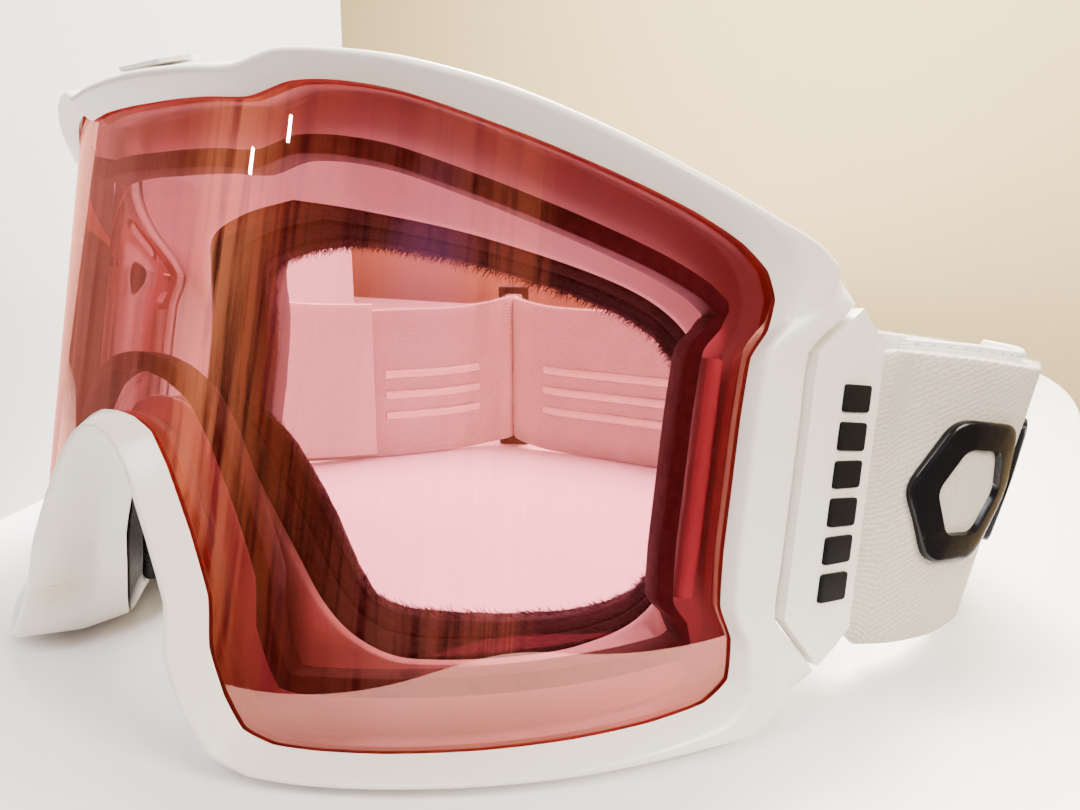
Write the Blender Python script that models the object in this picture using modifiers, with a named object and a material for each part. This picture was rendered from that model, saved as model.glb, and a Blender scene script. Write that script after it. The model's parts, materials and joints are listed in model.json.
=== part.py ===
"""Ski goggles: cylindrical lens, white frame, face foam, outriggers and strap.

Lengths are written in millimetres and multiplied by MM.  The goggles are laid out upright
(x to the wearer's left, y towards the face, z up, lens apex at the origin) under the empty
goggles_upright, which leans them back onto their lower rim.  The strap is laid out
under strap_layout, whose z = 0 is the surface that everything rests on.
"""
import math
from math import cos, radians, sin

import bmesh
import bpy
from mathutils import Vector

MM = 0.001

# ---- driving dimensions (mm and degrees) -------------------------------------------------
LENS_RADIUS = 92.0          # radius of the cylinder that the outer lens lies on
LENS_THICK = 1.6
LEAN = 11.5                 # the goggles lean back this far when they stand
RIM_HEIGHT = 43.9           # lens origin above the resting surface, along the leaned z
STRAP_WIDTH = 50.0
STRAP_THICK = 2.2
GAP = 0.3                   # clearance between pieces that touch
VENT_CLEARANCE = 0.8        # between a vent's foam strip and the shells on either side
HINGE_ANGLE = 70.0          # outrigger hinge, as an angle round the lens axis
HINGE_INSET = -2.4          # outrigger hinge, radially from the lens cylinder
HINGE_MIDDLE = 2.4          # height of the middle of the hinge
PIN_RADIUS = 1.0
RUNNING = 0.08              # radial clearance of the hinge barrel on its pin
STATIONS = 35               # stations along half of the rim, brow centre to nose centre

# ---- rails of the rim, brow centre to nose centre: (angle, height, radial offset) --------
# lens edge, front ridge, outside of the ridge, crown of the outer wall, rear edge
RIM = [
    ((0.0, 48.7), (0.0, 51.4, 4.0), (0.0, 52.4, 3.6), (0.0, 58.2, -9.0), (0.0, 57.4, -22.0)),
    ((8.0, 48.8), (8.0, 51.2, 4.0), (8.0, 52.2, 3.6), (8.0, 58.0, -9.0), (8.0, 57.2, -22.0)),
    ((13.3, 48.6), (13.0, 51.0, 4.0), (13.0, 52.0, 3.6), (13.3, 57.9, -9.0), (13.3, 57.0, -22.0)),
    ((17.6, 50.7), (17.2, 53.1, 4.0), (17.2, 54.0, 3.6), (17.8, 58.4, -9.5), (17.8, 57.0, -22.0)),
    ((22.0, 50.9), (22.2, 53.1, 4.0), (22.3, 54.0, 3.6), (22.8, 58.3, -9.5), (22.8, 56.6, -22.0)),
    ((27.4, 50.0), (27.8, 52.4, 4.0), (28.0, 53.4, 3.6), (28.8, 57.5, -9.5), (28.8, 55.6, -22.0)),
    ((35.9, 46.9), (35.7, 50.3, 4.0), (36.0, 51.3, 3.6), (37.0, 55.3, -9.5), (37.0, 53.2, -22.0)),
    ((44.4, 43.5), (43.8, 47.0, 4.0), (44.1, 48.0, 3.6), (45.2, 51.8, -9.5), (45.6, 49.6, -21.0)),
    ((53.0, 39.8), (52.4, 43.0, 4.0), (52.8, 44.0, 3.6), (54.2, 47.4, -9.5), (55.0, 45.2, -20.0)),
    ((58.5, 36.6), (59.0, 39.8, 3.9), (59.8, 40.8, 3.7), (61.8, 43.2, -8.0), (62.8, 41.4, -18.0)),
    ((61.5, 33.6), (63.2, 36.6, 3.4), (65.0, 38.4, 4.2), (67.6, 40.2, -3.5), (68.4, 39.0, -14.0)),
    ((62.8, 29.8), (64.6, 32.4, 2.8), (67.9, 35.4, 4.7), (70.2, 36.8, -1.0), (71.0, 36.0, -10.0)),
    ((62.4, 25.2), (63.6, 27.0, 2.6), (67.2, 30.0, 3.7), (71.0, 31.0, 4.9), (71.5, 31.0, -7.0)),
    ((60.8, 20.9), (61.5, 22.6, 3.0), (64.0, 22.8, 3.2), (66.5, 23.0, 3.3), (71.2, 23.0, -6.5)),
    ((60.5, 12.0), (61.1, 12.0, 3.1), (63.8, 12.0, 3.2), (66.5, 12.0, 3.3), (71.0, 12.0, -6.5)),
    ((60.5, 2.0), (61.1, 2.0, 3.1), (63.8, 2.0, 3.2), (66.5, 2.0, 3.3), (71.0, 2.0, -6.5)),
    ((60.5, -7.5), (61.1, -7.5, 3.1), (63.8, -7.5, 3.2), (66.5, -7.5, 3.3), (71.0, -7.5, -6.5)),
    ((60.9, -15.4), (61.7, -16.0, 3.0), (64.2, -16.4, 3.2), (66.5, -17.0, 3.3), (71.2, -17.0, -6.5)),
    ((62.6, -20.3), (63.8, -21.4, 2.8), (67.4, -23.2, 3.7), (71.9, -25.4, 4.7), (71.9, -25.4, -7.0)),
    ((62.8, -26.4), (64.4, -27.8, 3.0), (67.8, -30.0, 4.6), (70.0, -31.4, -1.0), (70.6, -30.4, -10.0)),
    ((60.4, -29.6), (62.0, -32.0, 3.6), (64.2, -33.8, 4.2), (66.2, -34.3, -4.5), (67.2, -32.4, -14.0)),
    ((55.0, -31.9), (55.0, -34.8, 4.0), (55.6, -36.0, 3.7), (57.0, -35.9, -8.0), (57.6, -33.8, -18.0)),
    ((48.0, -34.1), (48.0, -37.0, 4.0), (48.4, -37.8, 3.7), (49.0, -37.5, -8.0), (49.2, -35.3, -19.0)),
    ((40.0, -36.2), (40.0, -39.0, 4.0), (40.2, -39.7, 3.6), (40.5, -38.8, -8.0), (40.8, -36.6, -19.0)),
    ((32.0, -38.0), (32.0, -40.7, 4.0), (32.0, -41.4, 3.6), (32.0, -40.2, -8.0), (32.0, -38.0, -18.0)),
    ((26.4, -39.0), (26.2, -41.8, 4.0), (26.2, -42.5, 3.6), (26.0, -41.6, -7.5), (26.0, -39.6, -17.0)),
    ((22.4, -39.4), (21.8, -42.2, 4.0), (21.5, -42.9, 3.6), (21.2, -42.2, -7.0), (21.6, -40.0, -16.0)),
    ((19.4, -38.3), (18.2, -41.0, 4.0), (17.6, -41.6, 3.6), (17.5, -41.0, -7.0), (18.6, -39.0, -15.0)),
    ((17.2, -34.3), (15.1, -36.5, 4.0), (14.5, -36.8, 3.6), (14.9, -36.6, -7.0), (16.8, -35.6, -14.0)),
    ((15.2, -28.3), (12.6, -29.6, 4.0), (11.9, -29.7, 3.6), (12.7, -29.6, -7.0), (15.6, -29.6, -13.0)),
    ((14.5, -21.2), (12.0, -22.2, 4.0), (11.4, -22.4, 3.6), (12.4, -22.4, -6.0), (15.0, -23.0, -12.0)),
    ((11.7, -12.6), (9.2, -13.8, 4.0), (8.6, -14.2, 3.6), (9.8, -14.4, -5.0), (12.0, -15.4, -11.0)),
    ((8.2, -4.2), (6.0, -5.8, 4.0), (5.4, -6.2, 3.6), (6.6, -6.6, -4.0), (8.4, -7.8, -10.0)),
    ((5.6, 0.3), (3.8, -2.1, 4.0), (3.4, -2.7, 3.6), (4.4, -3.0, -4.0), (5.6, -4.0, -10.0)),
    ((2.8, 2.0), (1.9, -0.5, 4.0), (1.7, -1.1, 3.6), (2.2, -1.4, -4.0), (2.8, -2.2, -10.0)),
    ((0.0, 2.4), (0.0, 0.0, 4.0), (0.0, -0.7, 3.6), (0.0, -1.0, -4.0), (0.0, -1.8, -10.0)),
]

# ---- rails of the face side: (station, x, y, z) ---------------------------------------------
FUNNEL_EDGE = [             # inner edge of the flange, seen through the lens
    (0, 0, 26, 41.5), (3, 17.5, 28, 39.5), (6, 38, 35, 36.5), (9, 58, 48, 31), (11, 66.5, 54.5, 25),
    (13, 68.5, 56.5, 17), (15, 69, 57, 1), (17, 68.5, 56.5, -14), (19, 65, 53, -23), (21, 58.5, 45.5, -28),
    (23, 52, 35.5, -29.5), (25, 45, 26.5, -30), (26.5, 41, 21.5, -29.3), (28, 36.4, 17, -26.2),
    (29, 31.5, 15.2, -22.4), (30, 27.2, 13.6, -16.8), (31.5, 20.0, 11.6, -8.0), (33, 11, 10.6, 1.4),
    (35, 0, 10.4, 5.4)]
FLANGE_EDGE = [             # outer edge of the flange, where the foam starts
    (0, 0, 36, 55), (3, 20, 38, 54.4), (6, 42, 45, 51), (9, 62, 57.5, 43.5), (11, 73, 68, 35.5),
    (13, 78.5, 75, 25), (15, 80, 77, 3), (17, 78.5, 75, -15), (19, 73.5, 68, -24.6), (21, 65, 58, -30),
    (23, 55, 48, -32.6), (25, 44, 37, -34.8), (26.5, 35.5, 29, -35.6), (28, 28.5, 23.5, -34.4),
    (29.5, 22.6, 19.6, -28.2), (31, 17.6, 16.0, -17.6), (33, 9, 13.8, -5.4), (35, 0, 13.2, -2.6)]
EYE_PORT = [                # edge of the fleece round the eyes
    (0, 0, 45.0, 36.2), (3, 15, 46.0, 34.8), (6, 33, 51, 31.8), (9, 50, 64, 27), (11, 57, 70.5, 20.5),
    (13, 59.2, 73, 12), (15, 59.8, 73.5, 1), (17, 59.2, 73, -12), (19, 56, 70, -21.6), (21, 49.5, 63, -26.2),
    (23, 41, 54, -28), (25, 33.5, 43.5, -27.8), (26.5, 29.5, 36, -26.6), (28, 27, 30.5, -23.4),
    (29.5, 23.6, 27.4, -16.4), (31, 19, 25, -8.2), (33, 9.6, 22.6, 1.6), (35, 0, 22, 4.8)]
FACE_EDGE = [               # outer edge of the foam where it meets the face
    (0, 0, 52, 52), (3, 20, 53.5, 51.4), (6, 41, 60, 48), (9, 59.5, 72, 40.6), (11, 70, 82, 33),
    (13, 75, 88.5, 22), (15, 76.5, 90.5, 3), (17, 75, 88.5, -13.6), (19, 70, 81.5, -22.8),
    (21, 61.5, 71.5, -28), (23, 52, 61, -30.6), (25, 42, 50.5, -32.4), (26.5, 35, 43, -33.0),
    (28, 29, 37, -31.4), (29.5, 24, 33, -25.2), (31, 19.2, 30, -15.4), (33, 10, 27.8, -4.0),
    (35, 0, 27, -1.0)]

# ---- strap routes on the resting surface: (x, y, height, shift of the top edge in x and y) --
STRAP_LEFT = [
    (92.4, 71.4, 6.2, 1.0, 9.6), (96.8, 77.0, 5.4, 3.5, 10.2), (100.4, 84.5, 4.4, 6.6, 10.8),
    (102.6, 94.0, 3.0, 8.8, 11.0), (103.2, 105.0, 1.8, 8.6, 8.0), (101.2, 118.0, 0.8, 7.0, 4.4),
    (95.0, 132.5, 0.3, 5.0, 2.2), (83.5, 146.5, 0.2, 3.0, 1.0), (67.0, 157.5, 0.2, 1.5, 0.4),
    (45.0, 164.5, 0.2, 0.6, 0.0), (16.0, 167.6, 0.2, 0.0, 0.0), (-14.0, 166.9, 0.2, 0.0, 0.0),
    (-31.0, 164.6, 0.6, 0.0, 0.0), (-40.5, 163.0, 2.0, 0.0, 0.0)]
STRAP_RIGHT = [
    (-92.4, 71.4, 6.2, -0.6, 9.6), (-94.6, 80.0, 5.0, -0.8, 9.0), (-94.8, 91.0, 3.0, -0.4, 6.0),
    (-91.0, 103.5, 1.0, 0.0, 3.0), (-82.5, 117.0, 0.2, 0.0, 1.0), (-72.0, 131.5, 0.2, 0.0, 0.0),
    (-63.0, 146.0, 0.2, 0.0, 0.0), (-56.6, 157.0, 1.2, 0.0, 0.0)]
SLIDER_AT = Vector((-50.5, 167.5))            # the doubled strap goes through the slider here
SLIDER_HEADING = Vector((-0.51, 0.86)).normalized()
SLIDER_LIFT = 3.4                            # lower edge of the strap inside the slider
SLIDER_ALONG, SLIDER_ACROSS, SLIDER_TALL = 4.6, 10.4, 56.6
SLIDER_SLOT = (6.2, 51.0)                    # width and height of the slider's slot
TAIL_LENGTH = 20.0                           # doubled strap behind the slider's centre
INNER_LAYER = (1.6, -3.1, 1.6)               # thickness, offset inwards, rise of the returned layer
BEAD_HEIGHTS = (13.0, 20.0, 27.0)            # silicone beads inside the strap, above its lower edge
BEAD_WIDTH, BEAD_THICK = 2.6, 0.8
BADGE_SIZE = (25.0, 25.0, 1.5)               # length, height and thickness of a strap badge
BADGE_STARTS = (4.0, 32.0)                   # badges along the strap, from its front end
BADGE_GAP = 0.55                             # under a badge, where the strap twists
BAND_STEP = 8.0                              # sections of the strap are this far apart


# ---- scene and materials -----------------------------------------------------------------
def clear_scene():
    for obj in list(bpy.data.objects):
        bpy.data.objects.remove(obj, do_unlink=True)


def collection(name):
    made = bpy.data.collections.new(name)
    bpy.context.scene.collection.children.link(made)
    return made


def material(name, colour, roughness, metallic=0.0, alpha=1.0):
    made = bpy.data.materials.new(name)
    made.use_nodes = True
    shader = made.node_tree.nodes["Principled BSDF"]
    shader.inputs["Base Color"].default_value = (*colour, 1.0)
    shader.inputs["Roughness"].default_value = roughness
    shader.inputs["Metallic"].default_value = metallic
    shader.inputs["Alpha"].default_value = alpha
    return made


clear_scene()
PARTS = collection("ski_goggles")
CUTTERS = collection("cutters")
WHITE = material("white_frame", (0.86, 0.84, 0.79), 0.3)
ROSE = material("rose_lens", (0.72, 0.16, 0.18), 0.05, alpha=0.4)
CLEAR = material("inner_lens", (0.9, 0.75, 0.75), 0.05, alpha=0.3)
BLACK = material("black_foam", (0.02, 0.02, 0.02), 0.9)
GREY = material("grey_foam", (0.09, 0.09, 0.09), 0.95)
FLEECE = material("black_fleece", (0.03, 0.02, 0.025), 1.0)
GLOSS_BLACK = material("black_gloss", (0.01, 0.01, 0.012), 0.12)
CREAM = material("cream_strap", (0.82, 0.77, 0.68), 0.95)
SILICONE = material("silicone", (0.9, 0.86, 0.78), 0.35)
STEEL = material("steel_pin", (0.6, 0.6, 0.62), 0.3, 1.0)

GOGGLES = bpy.data.objects.new("goggles_upright", None)
STRAP = bpy.data.objects.new("strap_layout", None)
for empty in (GOGGLES, STRAP):
    PARTS.objects.link(empty)
GOGGLES.rotation_euler = (-radians(LEAN), 0.0, 0.0)
GOGGLES.location = (0.0, 0.0, RIM_HEIGHT * MM)


# ---- geometry helpers --------------------------------------------------------------------
def round_lens(angle, height, offset=0.0):
    """Point at an angle round the lens axis, a height, and a radial offset from the lens."""
    radius = LENS_RADIUS + offset
    return Vector((radius * sin(radians(angle)), LENS_RADIUS - radius * cos(radians(angle)), height))


def smooth_rail(knots, at):
    """Cubic through (parameter, vector) knots with finite-difference tangents."""
    last = len(knots) - 1
    i = 0
    while i < last - 1 and at > knots[i + 1][0]:
        i += 1
    (t0, p0), (t1, p1) = knots[i], knots[i + 1]
    span = t1 - t0
    before = knots[max(i - 1, 0)]
    after = knots[min(i + 2, last)]
    slope0 = (p1 - before[1]) / (t1 - before[0])
    slope1 = (after[1] - p0) / (after[0] - t0)
    t = (at - t0) / span
    return (p0 * (2 * t**3 - 3 * t**2 + 1) + slope0 * span * (t**3 - 2 * t**2 + t)
            + p1 * (3 * t**2 - 2 * t**3) + slope1 * span * (t**3 - t**2))


def face_rail(table, station):
    """Point of a face-side rail; the ends lie on the plane of symmetry."""
    point = smooth_rail([(row[0], Vector(row[1:])) for row in table], station)
    if station in (0, STATIONS):
        point.x = 0.0
    return point


def rim_rail(column, station):
    """Point of one column of RIM."""
    knots = [(i, Vector((*row[column], 0.0)) if column == 0 else Vector(row[column]))
             for i, row in enumerate(RIM)]
    angle, height, offset = smooth_rail(knots, station)
    if station in (0, STATIONS):
        angle = 0.0
    return round_lens(angle, height, offset)


def lens_outline(station):
    """Visible lens edge as (arc length, height) on the unrolled lens."""
    knots = [(i, Vector((radians(row[0][0]) * LENS_RADIUS, row[0][1]))) for i, row in enumerate(RIM)]
    return smooth_rail(knots, station)


def outline_normal(station, reach=1.2):
    """Unit vector pointing out of the unrolled lens outline."""
    before = lens_outline(max(station - reach, 0))
    after = lens_outline(min(station + reach, STATIONS))
    if station - reach < 0 or station + reach > STATIONS:
        return Vector((0.0, 1.0 if station < reach else -1.0))
    along = (after - before).normalized()
    return Vector((-along.y, along.x))


def seat(station, out, offset, reach=1.2):
    """Point at a distance outside the lens outline and a radial offset from the lens."""
    arc, height = lens_outline(station) + outline_normal(station, reach) * out
    if station in (0, STATIONS):
        arc = 0.0
    return round_lens(math.degrees(arc / LENS_RADIUS), height, offset)


def new_object(name, mesh, skin, parent, target=PARTS):
    made = bpy.data.objects.new(name, mesh)
    made.parent = parent
    target.objects.link(made)
    if skin:
        made.data.materials.append(skin)
    return made


def smooth(obj, angle=40.0):
    obj.data.shade_smooth()
    obj.data.set_sharp_from_angle(angle=radians(angle))


def loft(name, rings, skin, parent=GOGGLES, mirrored=False):
    """Solid through cross-section rings; a mirrored one is open at x = 0, else it is capped."""
    mesh = bpy.data.meshes.new(name)
    bm = bmesh.new()
    rows = [[bm.verts.new(point * MM) for point in ring] for ring in rings]
    for row, following in zip(rows, rows[1:]):
        for k in range(len(row)):
            m = (k + 1) % len(row)
            bm.faces.new((row[k], row[m], following[m], following[k]))
    if not mirrored:
        bm.faces.new(rows[0])
    if not mirrored or mirrored == "one end":
        bm.faces.new(reversed(rows[-1]))
    bmesh.ops.recalc_face_normals(bm, faces=bm.faces)
    if sum(f.calc_center_median().x * f.normal.x * f.calc_area() for f in bm.faces) < 0:
        bmesh.ops.reverse_faces(bm, faces=bm.faces)
    bm.to_mesh(mesh)
    bm.free()
    made = new_object(name, mesh, skin, parent)
    if mirrored:
        mirror = made.modifiers.new("mirror", "MIRROR")
        mirror.merge_threshold = 0.0001
    smooth(made)
    return made


def stations(first, last, step=1.0):
    count = round((last - first) / step)
    return [first + (last - first) * i / count for i in range(count + 1)]


def boolean(target, cutter, operation):
    change = target.modifiers.new(operation.lower(), "BOOLEAN")
    change.operation = operation
    change.solver = "EXACT"
    change.object = cutter


def cutter_from(obj):
    for owner in list(obj.users_collection):
        owner.objects.unlink(obj)
    CUTTERS.objects.link(obj)
    obj.hide_render = True
    obj.display_type = "WIRE"
    return obj


def cylinder(name, centre, radius, length, skin, parent, sides=16):
    """Upright cylinder, centred."""
    mesh = bpy.data.meshes.new(name)
    bm = bmesh.new()
    bmesh.ops.create_cone(bm, cap_ends=True, segments=sides, radius1=radius * MM, radius2=radius * MM,
                          depth=length * MM)
    bm.to_mesh(mesh)
    bm.free()
    made = new_object(name, mesh, skin, parent)
    made.location = Vector(centre) * MM
    smooth(made)
    return made


def side_name(name, side):
    return f"{name}_{'left' if side > 0 else 'right'}"


def mirror_point(point, side):
    return Vector((point.x * side, point.y, point.z))


RIM_CROWN = [row[3][:2] for row in RIM]      # angle and height of the crown at each station


# ---- frame, lenses and gasket --------------------------------------------------------------
def frame_ring(station):
    """Cross-section of the frame: bevel, ridge, outer wall, rear edge, inner wall, lens groove."""
    crown = rim_rail(3, station)
    rear = rim_rail(4, station)
    inward = (seat(station, -4.0, -12.0) - rear).normalized()
    nose = max(0.0, min(1.0, (station - 25.0) / 4.0))
    tip = -5.5 + 3.0 * nose
    wall = 2.6
    inner_rear = rear + inward * wall
    angle, height = RIM_CROWN[station]
    step = round_lens(angle, height, -5.0) if 12 <= station <= 18 else crown.lerp(rear, 0.2)
    ring = [seat(station, 0.0, 0.3), rim_rail(1, station), rim_rail(2, station), crown]
    ring += [step, rear, inner_rear]
    ring += [seat(station, 3.2 - 1.2 * nose, -10.6 + 2.0 * nose)]
    ring += [seat(station, tip, -10.4 + 2.0 * nose), seat(station, tip, -9.0 + 2.0 * nose)]
    ring += [seat(station, 1.2, -7.4 + 2.0 * nose), seat(station, 0.2, -3.6), seat(station, 0.2, -2.1)]
    ring += [seat(station, 2.2, -2.1), seat(station, 2.2, 0.3)]
    return ring


def build_frame():
    rings = [frame_ring(s) for s in range(STATIONS + 1)]
    return loft("frame_shell", rings, WHITE, mirrored=True)


def lens_panel(name, out, offset, thickness, skin, step):
    """Curved panel: the outline is filled flat, cut into strips and rolled onto the cylinder."""
    mesh = bpy.data.meshes.new(name)
    bm = bmesh.new()
    edge = [lens_outline(s) + outline_normal(s) * out for s in stations(0, STATIONS)]
    edge[0].x = 0.0
    edge[-1].x = 0.0
    face = bm.faces.new([bm.verts.new((p.x * MM, 0.0, p.y * MM)) for p in edge])
    face.normal_update()
    bmesh.ops.triangulate(bm, faces=[face])
    strips = int(radians(64.0) * LENS_RADIUS / step)
    for i in range(1, strips + 1):
        geometry = list(bm.verts) + list(bm.edges) + list(bm.faces)
        bmesh.ops.bisect_plane(bm, geom=geometry, plane_co=(i * step * MM, 0, 0), plane_no=(1, 0, 0))
    for vert in bm.verts:
        rolled = round_lens(math.degrees(vert.co.x / MM / LENS_RADIUS), vert.co.z / MM, offset)
        vert.co = rolled * MM
    bmesh.ops.recalc_face_normals(bm, faces=bm.faces)
    if sum(f.normal.y for f in bm.faces) > 0:
        bmesh.ops.reverse_faces(bm, faces=bm.faces)
    bm.to_mesh(mesh)
    bm.free()
    made = new_object(name, mesh, skin, GOGGLES)
    mirror = made.modifiers.new("mirror", "MIRROR")
    mirror.merge_threshold = 0.0001
    shell = made.modifiers.new("thickness", "SOLIDIFY")
    shell.thickness = thickness * MM
    shell.offset = -1.0
    smooth(made)
    return made


def build_gasket():
    rings = []
    for s in stations(0, STATIONS):
        rings.append([seat(s, -6.4, -2.2, 3.0), seat(s, -9.2, -2.2, 3.0),
                      seat(s, -9.2, -6.2, 3.0), seat(s, -6.4, -6.2, 3.0)])
    return loft("lens_spacer_gasket", rings, GREY, mirrored=True)


def vent_gap(station):
    """Depth of the vent between the frame's rear edge and the flange."""
    if station <= 8:
        return 5.6
    if 21 <= station <= 25:
        return 4.6
    return 0.4


def flange_front(station):
    rear = rim_rail(4, station)
    return rear + (face_rail(FLANGE_EDGE, station) - rear).normalized() * vent_gap(station)


def flange_ring(station):
    """Open-fronted U: outer wall, face plate and the funnel towards the lens."""
    thick = 1.8
    front = flange_front(station)
    outer = face_rail(FLANGE_EDGE, station)
    edge = face_rail(FUNNEL_EDGE, station)
    back = (face_rail(EYE_PORT, station) - edge).normalized()
    across = (outer - edge).normalized()
    inward = (seat(station, -4.0, -12.0) - rim_rail(4, station)).normalized()
    nose = max(0.0, min(1.0, (station - 25.0) / 4.0))
    funnel = seat(station, -5.0 + 2.6 * nose, -11.0 + 2.0 * nose)
    funnel_out = seat(station, -2.8 + 2.2 * nose, -11.2 + 2.0 * nose)
    wall = min(thick, 0.4 * (front - outer).length)
    return [front, outer, edge + back * thick, edge, funnel, funnel_out, edge + across * 2.4,
            outer - across * thick + (front - outer).normalized() * wall, front + inward * thick]


def build_flange():
    loft("face_flange", [flange_ring(s) for s in range(STATIONS + 1)], WHITE, mirrored=True)


def foam_ring(station, start, end, bulge=0.0):
    """Slice of the foam between two fractions of its depth; bulge swells its rear face."""
    outer = face_rail(FLANGE_EDGE, station)
    edge = face_rail(FUNNEL_EDGE, station)
    port = face_rail(EYE_PORT, station)
    face = face_rail(FACE_EDGE, station)
    back = (port - edge).normalized()
    edge = edge + back * 1.8
    ring = [outer.lerp(face, start), edge.lerp(port, start), edge.lerp(port, end), outer.lerp(face, end)]
    if bulge:
        crest = (ring[2] + ring[3]) / 2 + back * bulge
        if station in (0, STATIONS):
            crest.x = 0.0
        ring.insert(3, crest)
    return ring


def build_foam():
    layers = (("foam_base_layer", 0.04, 0.41, 0.0, GREY), ("foam_middle_layer", 0.47, 0.77, 0.0, BLACK),
              ("face_fleece", 0.84, 1.0, 1.2, FLEECE))
    for name, start, end, bulge, skin in layers:
        rings = [foam_ring(s, start, end, bulge) for s in range(STATIONS + 1)]
        loft(name, rings, skin, mirrored=True)


def vent_ring(station):
    """Foam strip that fills the vent, clear of the frame and the flange."""
    rear = rim_rail(4, station)
    along = flange_front(station) - rear
    inward = (seat(station, -4.0, -12.0) - rear).normalized()
    near = rear + along.normalized() * VENT_CLEARANCE
    far = rear + along - along.normalized() * VENT_CLEARANCE
    return [near + inward * 0.5, far + inward * 0.5, far + inward * 2.2, near + inward * 2.2]


def build_vents():
    loft("top_vent_foam", [vent_ring(s) for s in range(0, 9)], GREY, mirrored="one end")
    for side in (1, -1):
        rings = [[mirror_point(p, side) for p in vent_ring(s)] for s in range(21, 26)]
        loft(side_name("lower_vent_foam", side), rings, GREY)


def build_lens_posts():
    """Rounded posts behind the lens's side edges, which the lens snaps onto."""
    for side in (1, -1):
        at = mirror_point(round_lens(59.2, HINGE_MIDDLE, -5.5), side)
        cylinder(side_name("lens_post", side), at, 1.9, 36.0, WHITE, GOGGLES)


def build_brow_pad():
    """Plain six-sided pad on the brow, flush on the sloping outer wall."""
    half = [(9.0, 0.0), (5.5, 3.4), (-5.5, 3.4), (-9.0, 0.0), (-5.5, -3.4), (5.5, -3.4)]
    rings = [[Vector((x, y, z)) for x, y in half] for z in (0.0, 0.8)]
    pad = loft("brow_pad", rings, WHITE)
    low, high = rim_rail(2, 0), rim_rail(3, 0)
    slope = math.atan2(high.z - low.z, high.y - low.y)
    pad.rotation_euler = (slope, 0.0, 0.0)
    normal = Vector((0.0, -sin(slope), cos(slope)))
    pad.location = (low.lerp(high, 0.38) + normal * GAP) * MM


# ---- outriggers and their hinges -----------------------------------------------------------
# sections of the outrigger plate: (angle, lower tip, tip offset, flat from, flat to, upper tip)
PLATE = [(67.1, -17.0, 3.4, -16.5, 19.4, 23.0), (69.3, -20.6, 4.1, -17.3, 20.4, 26.8),
         (71.7, -24.3, 4.7, -17.9, 21.4, 30.6), (74.8, -22.0, 4.2, -18.4, 22.7, 28.0),
         (78.0, -19.7, 3.5, -19.0, 24.0, 25.3)]
PLATE_FLAT = 3.4             # radial offset of the plate's flat outer face
PLATE_INNER = 0.4            # radial offset of its inner face
KNUCKLE = (2.0, 20.0)        # radius and length of the hinge barrel
LUG_HEIGHT = 4.0
LUG_TOP = -0.3               # radial offset of a lug's outer face
BAR_ANGLE, BAR_INSET, BAR_RADIUS = 75.0, -3.2, 1.2
STRAP_END = 1.6              # thickness of the strap where it loops round the bar


def hinge_point(side, height=0.0):
    return mirror_point(round_lens(HINGE_ANGLE, height, HINGE_INSET), side)


def carrier(side):
    """Empty on the outrigger's hinge axis."""
    empty = bpy.data.objects.new(side_name("outrigger_axis", side), None)
    PARTS.objects.link(empty)
    empty.parent = GOGGLES
    empty.location = hinge_point(side) * MM
    return empty


def plate_ring(row, side):
    angle, low, tip, flat_low, flat_high, high = row
    points = [(low, tip), (flat_low, PLATE_FLAT), (flat_high, PLATE_FLAT), (high, tip),
              (high, tip - 2.2), (flat_high, PLATE_INNER), (flat_low, PLATE_INNER), (low, tip - 2.2)]
    return [mirror_point(round_lens(angle, z, r), side) for z, r in points]


def strap_end_outline(side):
    """Strap looped round the bar: outer leg, turn in front of the bar, inner leg (seen from above)."""
    centre = round_lens(BAR_ANGLE, 0.0, BAR_INSET)
    out = Vector((0.97, -0.24, 0.0))
    front = Vector((-0.24, -0.97, 0.0))
    reach = BAR_RADIUS + 0.3 + STRAP_END / 2
    turn = [centre + (out * cos(a) + front * sin(a)) * reach for a in (i * math.pi / 8 for i in range(9))]
    middle = [Vector((91.5, 76.3, 0)), Vector((89.4, 73.4, 0))] + turn
    middle += [Vector((85.0, 73.6, 0)), Vector((86.6, 77.4, 0))]
    edges = ([], [])
    for i, point in enumerate(middle):
        along = (middle[min(i + 1, len(middle) - 1)] - middle[max(i - 1, 0)]).normalized()
        normal = Vector((along.y, -along.x, 0.0))
        edges[0].append(mirror_point(point + normal * STRAP_END / 2, side))
        edges[1].append(mirror_point(point - normal * STRAP_END / 2, side))
    return edges


def flat_prism(name, edges, low, high, skin, parent):
    """Upright solid between two matching edges of a strip, seen from above."""
    rings = []
    for first, second in zip(*edges):
        rings.append([Vector((p.x, p.y, z)) for p, z in ((first, low), (second, low), (second, high),
                                                         (first, high))])
    return loft(name, rings, skin, parent)


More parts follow.
